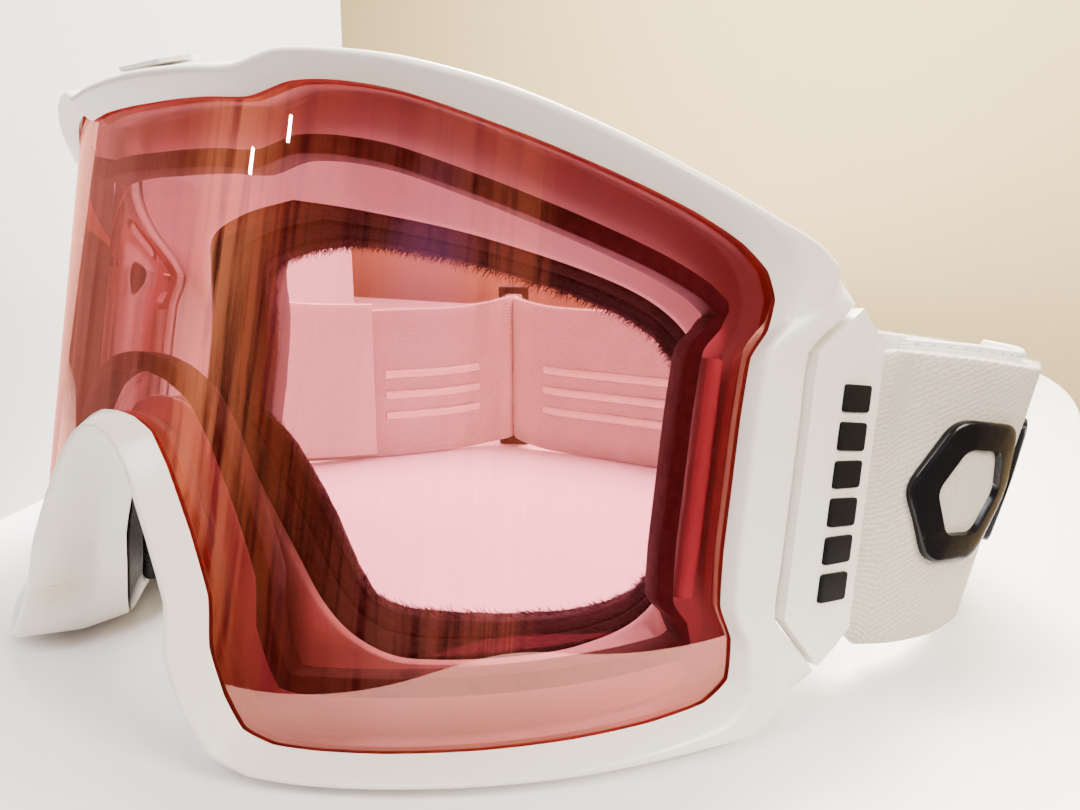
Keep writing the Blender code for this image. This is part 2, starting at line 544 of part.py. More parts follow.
def build_outrigger(side):
    axis = carrier(side)
    plate = loft(side_name("outrigger", side), [plate_ring(row, side) for row in PLATE], WHITE, axis)
    radius, length = KNUCKLE
    middle = hinge_point(side, HINGE_MIDDLE)
    barrel = cutter_from(cylinder("barrel", middle, radius, length, WHITE, axis))
    neck_at = mirror_point(round_lens(HINGE_ANGLE, HINGE_MIDDLE, -0.6), side)
    neck = cutter_from(cylinder("neck", neck_at, 1.5, length, WHITE, axis, 8))
    bore = cutter_from(cylinder("bore", middle, PIN_RADIUS + RUNNING, length + 6, None, axis))
    boolean(plate, neck, "UNION")
    boolean(plate, barrel, "UNION")
    boolean(plate, bore, "DIFFERENCE")
    bar_at = mirror_point(round_lens(BAR_ANGLE, 2.7, BAR_INSET), side)
    pieces = [plate, barrel, neck, bore]
    pieces.append(cylinder(side_name("strap_bar", side), bar_at, BAR_RADIUS, 43.0, WHITE, axis, 12))
    pieces.append(flat_prism(side_name("strap_end", side), strap_end_outline(side), -19.5, 25.0, CREAM, axis))
    pieces.append(build_inlay(side, axis))
    for piece in pieces:
        piece.location = piece.location - hinge_point(side) * MM
    reach = (length + LUG_HEIGHT) / 2 + GAP
    for part, height in (("upper", HINGE_MIDDLE + reach), ("lower", HINGE_MIDDLE - reach)):
        build_lug(f"hinge_lug_{part}", side, height)
    cylinder(side_name("hinge_pin", side), middle, PIN_RADIUS, length + 9.0, STEEL, GOGGLES, 12)


def build_inlay(side, axis):
    """Slim grip strip down the middle of the plate's flat face."""
    rings = []
    for angle in (71.4, 73.6, 75.8):
        points = ((-15.5, PLATE_FLAT + GAP), (20.0, PLATE_FLAT + GAP), (20.0, PLATE_FLAT + 0.9),
                  (-15.5, PLATE_FLAT + 0.9))
        rings.append([mirror_point(round_lens(angle, z, r), side) for z, r in points])
    return loft(side_name("outrigger_inlay", side), rings, GLOSS_BLACK, axis)


def build_lug(name, side, height):
    """Small block on the frame that holds one end of the hinge pin."""
    low, high = height - LUG_HEIGHT / 2, height + LUG_HEIGHT / 2
    rings = []
    for angle in (68.5, 71.6):
        floor = -4.9 - (angle - 66.5) * 0.33 + GAP
        corners = ((low, floor), (high, floor), (high, LUG_TOP), (low, LUG_TOP))
        rings.append([mirror_point(round_lens(angle, z, r), side) for z, r in corners])
    lug = loft(side_name(name, side), rings, WHITE)
    hole = cutter_from(cylinder("lug_hole", hinge_point(side, height), PIN_RADIUS + GAP,
                                LUG_HEIGHT + 4, None, GOGGLES))
    boolean(lug, hole, "DIFFERENCE")


# ---- strap ---------------------------------------------------------------------------------
def tail_points(offset):
    """Straight doubled stretch through the slider, at a sideways offset from its centre line."""
    normal = Vector((SLIDER_HEADING.y, -SLIDER_HEADING.x))
    points = []
    for along in (-5.0, 2.0, TAIL_LENGTH):
        at = SLIDER_AT + normal * offset + SLIDER_HEADING * along
        points.append((at.x, at.y, SLIDER_LIFT, 0.0, 0.0))
    return points


def strap_line(route):
    """Knots along a strap route, each with its distance from the front end."""
    knots = []
    travelled = 0.0
    for i, (x, y, height, lean_x, lean_y) in enumerate(route):
        if i:
            travelled += math.hypot(x - route[i - 1][0], y - route[i - 1][1])
        knots.append((travelled, Vector((x, y, height, lean_x, lean_y))))
    return knots


def strap_at(knots, distance):
    """Lower edge, unit width direction and outward normal of the strap at a distance."""
    x, y, height, lean_x, lean_y = smooth_rail(knots, distance)
    ahead = smooth_rail(knots, min(distance + 1.0, knots[-1][0]))
    behind = smooth_rail(knots, max(distance - 1.0, 0.0))
    along = Vector((ahead[0] - behind[0], ahead[1] - behind[1], 0.0)).normalized()
    rise = math.sqrt(STRAP_WIDTH**2 - lean_x**2 - lean_y**2)
    width = Vector((lean_x, lean_y, rise)).normalized()
    return Vector((x, y, height)), width, along.cross(width).normalized()


def strap_samples(first, last, step=BAND_STEP):
    """Distances that all strips along the strap share, and the strip's two ends."""
    inner = [i * step for i in range(int(last / step) + 1)]
    return [first] + [d for d in inner if first + 1.0 < d < last - 1.0] + [last]


def band(name, knots, first, last, low, high, offset, thick, skin, outward=1, step=BAND_STEP):
    """Strip along the strap between two distances and two heights, at an offset from its middle."""
    rings = []
    for distance in strap_samples(first, last, step):
        base, width, normal = strap_at(knots, distance)
        low_at = low(distance) if callable(low) else low
        high_at = high(distance) if callable(high) else high
        near = normal * outward * (offset - thick / 2)
        far = normal * outward * (offset + thick / 2)
        rings.append([base + width * low_at + near, base + width * high_at + near,
                      base + width * high_at + far, base + width * low_at + far])
    return loft(name, rings, skin, STRAP)


def build_badge(name, knots, start, outward):
    """Six-sided rubber pad on the outside of the strap."""
    length, tall, thick = BADGE_SIZE
    middle = STRAP_WIDTH * 0.54

    def half_height(distance):
        t = abs(distance - start - length / 2) / (length / 2)
        return tall / 2 * min(1.0, 1.45 - 1.05 * t)

    offset = STRAP_THICK / 2 + BADGE_GAP + thick / 2
    band(name, knots, start, start + length, lambda d: middle - half_height(d),
         lambda d: middle + half_height(d), offset, thick, GLOSS_BLACK, outward, BAND_STEP / 2)


def build_strap(side, route, tail_offset, beads):
    """One half of the strap from its outrigger to the slider, with all that is sewn on it."""
    outward = 1 if side > 0 else -1
    knots = strap_line(route + tail_points(tail_offset))
    end = knots[-1][0]
    band(side_name("strap", side), knots, 0.4, end, 0.0, STRAP_WIDTH, 0.0, STRAP_THICK, CREAM, outward)
    thick, offset, rise = INNER_LAYER
    band(side_name("strap_inner_layer", side), knots, 3.0, 58.0, rise, STRAP_WIDTH + rise, offset, thick,
         CREAM, outward)
    for label, height in zip(("lower", "middle", "upper"), BEAD_HEIGHTS):
        band(side_name(f"grip_bead_{label}", side), knots, *beads, height, height + BEAD_WIDTH,
             -STRAP_THICK / 2 - GAP - BEAD_THICK / 2, BEAD_THICK, SILICONE, outward)
    for label, start in zip(("front", "rear"), BADGE_STARTS):
        build_badge(side_name(f"strap_badge_{label}", side), knots, start, outward)


def build_slider():
    """Upright slider round the doubled strap."""
    slot_wide, slot_tall = SLIDER_SLOT
    middle = SLIDER_LIFT + STRAP_WIDTH / 2
    outline = [(-SLIDER_ACROSS / 2, -SLIDER_TALL / 2), (SLIDER_ACROSS / 2, -SLIDER_TALL / 2),
               (SLIDER_ACROSS / 2, SLIDER_TALL / 2), (-SLIDER_ACROSS / 2, SLIDER_TALL / 2)]
    slot = [(-slot_wide / 2, -slot_tall / 2), (slot_wide / 2, -slot_tall / 2),
            (slot_wide / 2, slot_tall / 2), (-slot_wide / 2, slot_tall / 2)]
    heading = math.atan2(SLIDER_HEADING.y, SLIDER_HEADING.x) - math.pi / 2
    pieces = []
    for name, shape, reach in (("strap_slider", outline, SLIDER_ALONG / 2), ("slot", slot, SLIDER_ALONG)):
        rings = [[Vector((x, y, z)) for x, z in shape] for y in (-reach, reach)]
        pieces.append(loft(name, rings, GLOSS_BLACK, STRAP))
    for piece in pieces:
        piece.location = Vector((SLIDER_AT.x, SLIDER_AT.y, middle)) * MM
        piece.rotation_euler = (0.0, 0.0, heading)
    boolean(pieces[0], cutter_from(pieces[1]), "DIFFERENCE")


# ---- assembly ------------------------------------------------------------------------------
def centre_on_origin():
    """Stand the goggles on the resting surface, with the origin under the middle of the whole."""
    bpy.context.view_layer.update()
    graph = bpy.context.evaluated_depsgraph_get()
    corners = []
    for obj in PARTS.objects:
        if obj.type == "MESH":
            shape = obj.evaluated_get(graph)
            corners += [shape.matrix_world @ vert.co for vert in shape.data.vertices]
    low = Vector([min(c[k] for c in corners) for k in range(3)])
    high = Vector([max(c[k] for c in corners) for k in range(3)])
    for empty in (GOGGLES, STRAP):
        empty.location.x -= (low.x + high.x) / 2
        empty.location.y -= (low.y + high.y) / 2
    GOGGLES.location.z -= low.z


build_frame()
lens_panel("outer_lens", 1.8, -0.1, LENS_THICK, ROSE, 5.0)
lens_panel("inner_lens", -5.8, -6.6, 0.8, CLEAR, 6.0)
build_gasket()
build_flange()
build_foam()
build_vents()
build_lens_posts()
build_brow_pad()
for which in (1, -1):
    build_outrigger(which)
build_strap(1, STRAP_LEFT, 1.45, (100.0, 206.0))
build_strap(-1, STRAP_RIGHT, -1.45, (62.0, 95.0))
build_slider()
centre_on_origin()
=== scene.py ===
"""Looks of the ski goggles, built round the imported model.

Lengths are in millimetres and multiplied by MM.  Shapes of the goggles are laid out upright
(x to the wearer's left, y towards the face, z up, lens apex at the origin) and placed by
GOGGLES, which leans them back; the strap is laid out on the resting surface and placed by
STRAP.  Both come from the place and axis of the left outrigger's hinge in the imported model.
"""
import json
import math
import random
from math import cos, pi, radians, sin

import bmesh
import bpy
import numpy as np
from mathutils import Matrix, Vector, geometry, noise


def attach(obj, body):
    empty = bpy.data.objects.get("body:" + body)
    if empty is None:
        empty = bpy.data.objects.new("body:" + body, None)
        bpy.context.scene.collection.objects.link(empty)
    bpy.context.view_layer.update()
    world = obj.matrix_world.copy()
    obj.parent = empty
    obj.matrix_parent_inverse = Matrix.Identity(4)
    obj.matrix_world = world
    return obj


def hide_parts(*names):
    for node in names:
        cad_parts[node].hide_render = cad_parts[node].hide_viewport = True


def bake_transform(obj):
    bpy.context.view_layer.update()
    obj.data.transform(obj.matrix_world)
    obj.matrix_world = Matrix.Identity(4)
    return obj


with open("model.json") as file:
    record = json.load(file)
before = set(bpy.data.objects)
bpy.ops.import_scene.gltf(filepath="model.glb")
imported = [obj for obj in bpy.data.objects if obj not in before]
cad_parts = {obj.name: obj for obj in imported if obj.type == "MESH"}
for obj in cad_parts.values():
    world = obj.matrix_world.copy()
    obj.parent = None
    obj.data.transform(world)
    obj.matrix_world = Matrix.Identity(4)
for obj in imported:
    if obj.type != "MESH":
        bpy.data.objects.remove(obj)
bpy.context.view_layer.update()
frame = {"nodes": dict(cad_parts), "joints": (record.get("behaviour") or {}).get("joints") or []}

MM = 0.001

# ---- dimensions shared with the design (mm and degrees) ------------------------------------
LENS_RADIUS = 92.0
HINGE_ANGLE, HINGE_INSET = 70.0, -2.4
STRAP_WIDTH, STRAP_THICK = 50.0, 2.2
STATIONS = 35               # stations along half of the rim, brow centre to nose centre
FINE = 6                    # sections of the visible shells between two stations
VENT_CLEARANCE = 0.8

# rails of the rim at each station: (angle, height, radial offset) of the lens edge, front
# ridge, outside of the ridge, crown of the outer wall and rear edge
RIM = [
    ((0, 48.7), (0, 51.4, 4), (0, 52.4, 3.6), (0, 58.2, -9), (0, 57.4, -22)),
    ((8, 48.8), (8, 51.2, 4), (8, 52.2, 3.6), (8, 58, -9), (8, 57.2, -22)),
    ((13.3, 48.6), (13, 51, 4), (13, 52, 3.6), (13.3, 57.9, -9), (13.3, 57, -22)),
    ((17.6, 50.7), (17.2, 53.1, 4), (17.2, 54, 3.6), (17.8, 58.4, -9.5), (17.8, 57, -22)),
    ((22, 50.9), (22.2, 53.1, 4), (22.3, 54, 3.6), (22.8, 58.3, -9.5), (22.8, 56.6, -22)),
    ((27.4, 50), (27.8, 52.4, 4), (28, 53.4, 3.6), (28.8, 57.5, -9.5), (28.8, 55.6, -22)),
    ((35.9, 46.9), (35.7, 50.3, 4), (36, 51.3, 3.6), (37, 55.3, -9.5), (37, 53.2, -22)),
    ((44.4, 43.5), (43.8, 47, 4), (44.1, 48, 3.6), (45.2, 51.8, -9.5), (45.6, 49.6, -21)),
    ((53, 39.8), (52.4, 43, 4), (52.8, 44, 3.6), (54.2, 47.4, -9.5), (55, 45.2, -20)),
    ((58.5, 36.6), (59, 39.8, 3.9), (59.8, 40.8, 3.7), (61.8, 43.2, -8), (62.8, 41.4, -18)),
    ((61.5, 33.6), (63.2, 36.6, 3.4), (65, 38.4, 4.2), (67.6, 40.2, -3.5), (68.4, 39, -14)),
    ((62.8, 29.8), (64.6, 32.4, 2.8), (67.9, 35.4, 4.7), (70.2, 36.8, -1), (71, 36, -10)),
    ((62.4, 25.2), (63.6, 27, 2.6), (67.2, 30, 3.7), (71, 31, 4.9), (71.5, 31, -7)),
    ((60.8, 20.9), (61.5, 22.6, 3), (64, 22.8, 3.2), (66.5, 23, 3.3), (71.2, 23, -6.5)),
    ((60.5, 12), (61.1, 12, 3.1), (63.8, 12, 3.2), (66.5, 12, 3.3), (71, 12, -6.5)),
    ((60.5, 2), (61.1, 2, 3.1), (63.8, 2, 3.2), (66.5, 2, 3.3), (71, 2, -6.5)),
    ((60.5, -7.5), (61.1, -7.5, 3.1), (63.8, -7.5, 3.2), (66.5, -7.5, 3.3), (71, -7.5, -6.5)),
    ((60.9, -15.4), (61.7, -16, 3), (64.2, -16.4, 3.2), (66.5, -17, 3.3), (71.2, -17, -6.5)),
    ((62.6, -20.3), (63.8, -21.4, 2.8), (67.4, -23.2, 3.7), (71.9, -25.4, 4.7), (71.9, -25.4, -7)),
    ((62.8, -26.4), (64.4, -27.8, 3), (67.8, -30, 4.6), (70, -31.4, -1), (70.6, -30.4, -10)),
    ((60.4, -29.6), (62, -32, 3.6), (64.2, -33.8, 4.2), (66.2, -34.3, -4.5), (67.2, -32.4, -14)),
    ((55, -31.9), (55, -34.8, 4), (55.6, -36, 3.7), (57, -35.9, -8), (57.6, -33.8, -18)),
    ((48, -34.1), (48, -37, 4), (48.4, -37.8, 3.7), (49, -37.5, -8), (49.2, -35.3, -19)),
    ((40, -36.2), (40, -39, 4), (40.2, -39.7, 3.6), (40.5, -38.8, -8), (40.8, -36.6, -19)),
    ((32, -38), (32, -40.7, 4), (32, -41.4, 3.6), (32, -40.2, -8), (32, -38, -18)),
    ((26.4, -39), (26.2, -41.8, 4), (26.2, -42.5, 3.6), (26, -41.6, -7.5), (26, -39.6, -17)),
    ((22.4, -39.4), (21.8, -42.2, 4), (21.5, -42.9, 3.6), (21.2, -42.2, -7), (21.6, -40, -16)),
    ((19.4, -38.3), (18.2, -41, 4), (17.6, -41.6, 3.6), (17.5, -41, -7), (18.6, -39, -15)),
    ((17.2, -34.3), (15.1, -36.5, 4), (14.5, -36.8, 3.6), (14.9, -36.6, -7), (16.8, -35.6, -14)),
    ((15.2, -28.3), (12.6, -29.6, 4), (11.9, -29.7, 3.6), (12.7, -29.6, -7), (15.6, -29.6, -13)),
    ((14.5, -21.2), (12, -22.2, 4), (11.4, -22.4, 3.6), (12.4, -22.4, -6), (15, -23, -12)),
    ((11.7, -12.6), (9.2, -13.8, 4), (8.6, -14.2, 3.6), (9.8, -14.4, -5), (12, -15.4, -11)),
    ((8.2, -4.2), (6, -5.8, 4), (5.4, -6.2, 3.6), (6.6, -6.6, -4), (8.4, -7.8, -10)),
    ((5.6, 0.3), (3.8, -2.1, 4), (3.4, -2.7, 3.6), (4.4, -3, -4), (5.6, -4, -10)),
    ((2.8, 2), (1.9, -0.5, 4), (1.7, -1.1, 3.6), (2.2, -1.4, -4), (2.8, -2.2, -10)),
    ((0, 2.4), (0, 0, 4), (0, -0.7, 3.6), (0, -1, -4), (0, -1.8, -10)),
]


def knots(rows):
    """Rows of (parameter, x, y, ...) as pairs of a parameter and a vector."""
    return [(row[0], Vector(row[1:])) for row in rows]


# rails of the face side: (station, x, y, z)
FUNNEL_EDGE = knots([
    (0, 0, 26, 41.5), (3, 17.5, 28, 39.5), (6, 38, 35, 36.5), (9, 58, 48, 31), (11, 66.5, 54.5, 25),
    (13, 68.5, 56.5, 17), (15, 69, 57, 1), (17, 68.5, 56.5, -14), (19, 65, 53, -23),
    (21, 58.5, 45.5, -28), (23, 52, 35.5, -29.5), (25, 45, 26.5, -30), (26.5, 41, 21.5, -29.3),
    (28, 36.4, 17, -26.2),
    (29, 31.5, 15.2, -22.4), (30, 27.2, 13.6, -16.8), (31.5, 20.0, 11.6, -8.0), (33, 11, 10.6, 1.4),
    (35, 0, 10.4, 5.4)])
FLANGE_EDGE = knots([
    (0, 0, 36, 55), (3, 20, 38, 54.4), (6, 42, 45, 51), (9, 62, 57.5, 43.5), (11, 73, 68, 35.5),
    (13, 78.5, 75, 25), (15, 80, 77, 3), (17, 78.5, 75, -15), (19, 73.5, 68, -24.6), (21, 65, 58, -30),
    (23, 55, 48, -32.6), (25, 44, 37, -34.8), (26.5, 35.5, 29, -35.6), (28, 28.5, 23.5, -34.4),
    (29.5, 22.6, 19.6, -28.2), (31, 17.6, 16.0, -17.6), (33, 9, 13.8, -5.4), (35, 0, 13.2, -2.6)])
EYE_PORT = knots([
    (0, 0, 45.0, 36.2), (3, 15, 46.0, 34.8), (6, 33, 51, 31.8), (9, 50, 64, 27), (11, 57, 70.5, 20.5),
    (13, 59.2, 73, 12), (15, 59.8, 73.5, 1), (17, 59.2, 73, -12), (19, 56, 70, -21.6),
    (21, 49.5, 63, -26.2), (23, 41, 54, -28), (25, 33.5, 43.5, -27.8), (26.5, 29.5, 36, -26.6),
    (28, 27, 30.5, -23.4),
    (29.5, 23.6, 27.4, -16.4), (31, 19, 25, -8.2), (33, 9.6, 22.6, 1.6), (35, 0, 22, 4.8)])
FACE_EDGE = knots([
    (0, 0, 52, 52), (3, 20, 53.5, 51.4), (6, 41, 60, 48), (9, 59.5, 72, 40.6), (11, 70, 82, 33),
    (13, 75, 88.5, 22), (15, 76.5, 90.5, 3), (17, 75, 88.5, -13.6), (19, 70, 81.5, -22.8),
    (21, 61.5, 71.5, -28), (23, 52, 61, -30.6), (25, 42, 50.5, -32.4), (26.5, 35, 43, -33.0),
    (28, 29, 37, -31.4), (29.5, 24, 33, -25.2), (31, 19.2, 30, -15.4), (33, 10, 27.8, -4.0),
    (35, 0, 27, -1.0)])

# strap routes on the resting surface: (x, y, height, shift of the top edge in x and y)
STRAP_LEFT = [
    (92.4, 71.4, 6.2, 1, 9.6), (96.8, 77, 5.4, 3.5, 10.2), (100.4, 84.5, 4.4, 6.6, 10.8),
    (102.6, 94, 3, 8.8, 11), (103.2, 105, 1.8, 8.6, 8), (101.2, 118, 0.8, 7, 4.4),
    (95, 132.5, 0.3, 5, 2.2), (83.5, 146.5, 0.2, 3, 1), (67, 157.5, 0.2, 1.5, 0.4),
    (45, 164.5, 0.2, 0.6, 0), (16, 167.6, 0.2, 0, 0), (-14, 166.9, 0.2, 0, 0),
    (-31, 164.6, 0.6, 0, 0), (-40.5, 163, 2, 0, 0)]
STRAP_RIGHT = [
    (-92.4, 71.4, 6.2, -0.6, 9.6), (-94.6, 80, 5, -0.8, 9), (-94.8, 91, 3, -0.4, 6),
    (-91, 103.5, 1, 0, 3), (-82.5, 117, 0.2, 0, 1), (-72, 131.5, 0.2, 0, 0),
    (-63, 146, 0.2, 0, 0), (-56.6, 157, 1.2, 0, 0)]
SLIDER_AT = Vector((-50.5, 167.5))
SLIDER_HEADING = Vector((-0.51, 0.86)).normalized()
SLIDER_LIFT = 3.4
TAIL_LENGTH = 20.0
BEAD_HEIGHTS = {"lower": 13.0, "middle": 20.0, "upper": 27.0}
BEAD_WIDTH = 2.6
BEAD_STRETCH = {1: (100.0, 206.0), -1: (62.0, 95.0)}        # distances along each half
SIDES = {1: "left", -1: "right"}


# ---- geometry helpers ------------------------------------------------------------------------
def round_lens(angle, height, offset=0.0):
    """Point at an angle round the lens axis, a height, and a radial offset from the lens."""
    radius = LENS_RADIUS + offset
    return Vector((radius * sin(radians(angle)), LENS_RADIUS - radius * cos(radians(angle)), height))


HINGE = next(j for j in frame["joints"] if j["name"] == "outrigger_left_swing")
UP = Vector(HINGE["axis"])
TILT = Matrix.Rotation(-math.atan2(UP.y, UP.z), 4, "X")
GOGGLES = Matrix.Translation(
    Vector(HINGE["pos_m"]) - TILT @ (round_lens(HINGE_ANGLE, 0.0, HINGE_INSET) * MM)) @ TILT
STRAP = Matrix.Translation((GOGGLES.translation.x, GOGGLES.translation.y, 0.0))


def smooth_rail(rail, at):
    """Cubic through (parameter, vector) knots with finite-difference tangents."""
    last = len(rail) - 1
    i = 0
    while i < last - 1 and at > rail[i + 1][0]:
        i += 1
    (t0, p0), (t1, p1) = rail[i], rail[i + 1]
    span = t1 - t0
    before = rail[max(i - 1, 0)]
    after = rail[min(i + 2, last)]
    slope0 = (p1 - before[1]) / (t1 - before[0])
    slope1 = (after[1] - p0) / (after[0] - t0)
    t = (at - t0) / span
    return (p0 * (2 * t**3 - 3 * t**2 + 1) + slope0 * span * (t**3 - 2 * t**2 + t)
            + p1 * (3 * t**2 - 2 * t**3) + slope1 * span * (t**3 - t**2))


RIM_RAILS = [[(i, Vector((*row[c], 0.0)[:3])) for i, row in enumerate(RIM)] for c in range(5)]
FRONT_RIDGE, RIDGE_SIDE, CROWN, REAR_EDGE = 1, 2, 3, 4      # columns of RIM_RAILS
LENS_EDGE = [(i, Vector((radians(row[0][0]) * LENS_RADIUS, row[0][1]))) for i, row in enumerate(RIM)]
SMOOTH_UP_TO = 9.0          # the brow is smoother than the rest of the rim


def face_rail(rail, station):
    """Point of a face-side rail, on the middle plane at both ends of the half."""
    point = smooth_rail(rail, station)
    if station in (0, STATIONS):
        point.x = 0.0
    return point


def crisp_rail(rail, at):
    """Between the smooth curve and straight stretches, so that the moulding keeps soft corners."""
    i = min(int(at), len(rail) - 2)
    straight = rail[i][1].lerp(rail[i + 1][1], at - i)
    return straight.lerp(smooth_rail(rail, at), 0.4 if at > SMOOTH_UP_TO else 0.75)


def rim_rail(column, station):
    """Point of one of the rim's rails."""
    angle, height, offset = crisp_rail(RIM_RAILS[column], station)
    if station in (0, STATIONS):
        angle = 0.0
    return round_lens(angle, height, offset)


def lens_outline(station):
    """Visible lens edge as (arc length, height) on the unrolled lens."""
    return crisp_rail(LENS_EDGE, station)


def outline_normal(station, reach):
    """Outward direction of the unrolled lens edge, taken over a stretch of stations."""
    before = lens_outline(max(station - reach, 0))
    after = lens_outline(min(station + reach, STATIONS))
    if station - reach < 0:
        before = Vector((-before.x, before.y)) if station else Vector((-after.x, after.y))
    if station + reach > STATIONS:
        after = Vector((-lens_outline(2 * STATIONS - station - reach).x,
                        lens_outline(2 * STATIONS - station - reach).y))
    along = (after - before).normalized()
    return Vector((-along.y, along.x))


def seat(station, out, offset, reach=1.2):
    """Point at a distance outside the lens outline and a radial offset from the lens."""
    arc, height = lens_outline(station) + outline_normal(station, reach) * out
    if station in (0, STATIONS):
        arc = 0.0
    return round_lens(math.degrees(arc / LENS_RADIUS), height, offset)


def mirrored(ring):
    """The same points on the wearer's other side."""
    return [Vector((-p.x, p.y, p.z)) for p in ring]


def filleted(ring, radii, parts=4):
    """Cross-section with each corner turned into a small arc."""
    out = []
    for i, corner in enumerate(ring):
        before = ring[i - 1] - corner
        after = ring[(i + 1) % len(ring)] - corner
        reach = min(radii[i], 0.45 * before.length, 0.45 * after.length)
        start = corner + before.normalized() * reach
        end = corner + after.normalized() * reach
        for k in range(parts + 1):
            t = k / parts
            out.append(start * (1 - t)**2 + corner * (2 * t * (1 - t)) + end * t**2)
    return out


def linked(name, data):
    """Object with this data, in the scene."""
    made = bpy.data.objects.new(name, data)
    bpy.context.scene.collection.objects.link(made)
    return made


def add_mesh(name, points, faces, skin, body, place=GOGGLES, angle=35.0):
    """Object from points in mm, placed in the row frame, riding on a body."""
    mesh = bpy.data.meshes.new(name)
    mesh.from_pydata([place @ (p * MM) for p in points], [], faces)
    bm = bmesh.new()
    bm.from_mesh(mesh)
    bmesh.ops.recalc_face_normals(bm, faces=bm.faces)
    bm.to_mesh(mesh)
    bm.free()
    mesh.shade_smooth()
    mesh.set_sharp_from_angle(angle=radians(angle))
    made = linked(name, mesh)
    mesh.materials.append(skin)
    if body:
        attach(made, body)
    return made


def tube_faces(size, rows, start=0, closed=False):
    """Quads between neighbouring rows of points, with a number of points to each row."""
    faces = []
    for i in range(rows if closed else rows - 1):
        a, b = start + i * size, start + (i + 1) % rows * size
        for k in range(size):
            m = (k + 1) % size
            faces.append((a + k, a + m, b + m, b + k))
    return faces


def caps(size, rows, start=0):
    """The two end faces of a tube."""
    last = start + (rows - 1) * size
    return [tuple(range(start, start + size)), tuple(reversed(range(last, last + size)))]


def loft(name, rings, skin, body="frame", place=GOGGLES, closed=False, angle=35.0):
    """Solid through rings with the same number of points: a closed loop, or capped at both ends."""
    size, rows = len(rings[0]), len(rings)
    faces = tube_faces(size, rows, closed=closed)
    if not closed:
        faces += caps(size, rows)
    return add_mesh(name, [p for ring in rings for p in ring], faces, skin, body, place, angle)


def rounds(ring_at, first=0, last=STATIONS, fine=FINE):
    """Rings round the whole rim, or the left part of it where it doesn't span the half."""
    count = (last - first) * fine
    left = [ring_at(first + i / fine) for i in range(count + 1)]
    if (first, last) == (0, STATIONS):
        return left + [mirrored(ring) for ring in reversed(left[1:-1])]
    if first == 0:
        return [mirrored(ring) for ring in reversed(left[1:])] + left
    return left


# ---- materials -------------------------------------------------------------------------------
def skin(name, colour, roughness, **values):
    """Principled material; values set further sockets, with _ for a space in the name."""
    made = bpy.data.materials.new(name)
    made.use_nodes = True
    shader = made.node_tree.nodes["Principled BSDF"]
    shader.inputs["Base Color"].default_value = (*colour, 1.0)
    shader.inputs["Roughness"].default_value = roughness
    for key, value in values.items():
        shader.inputs[key.replace("_", " ")].default_value = value
    return made


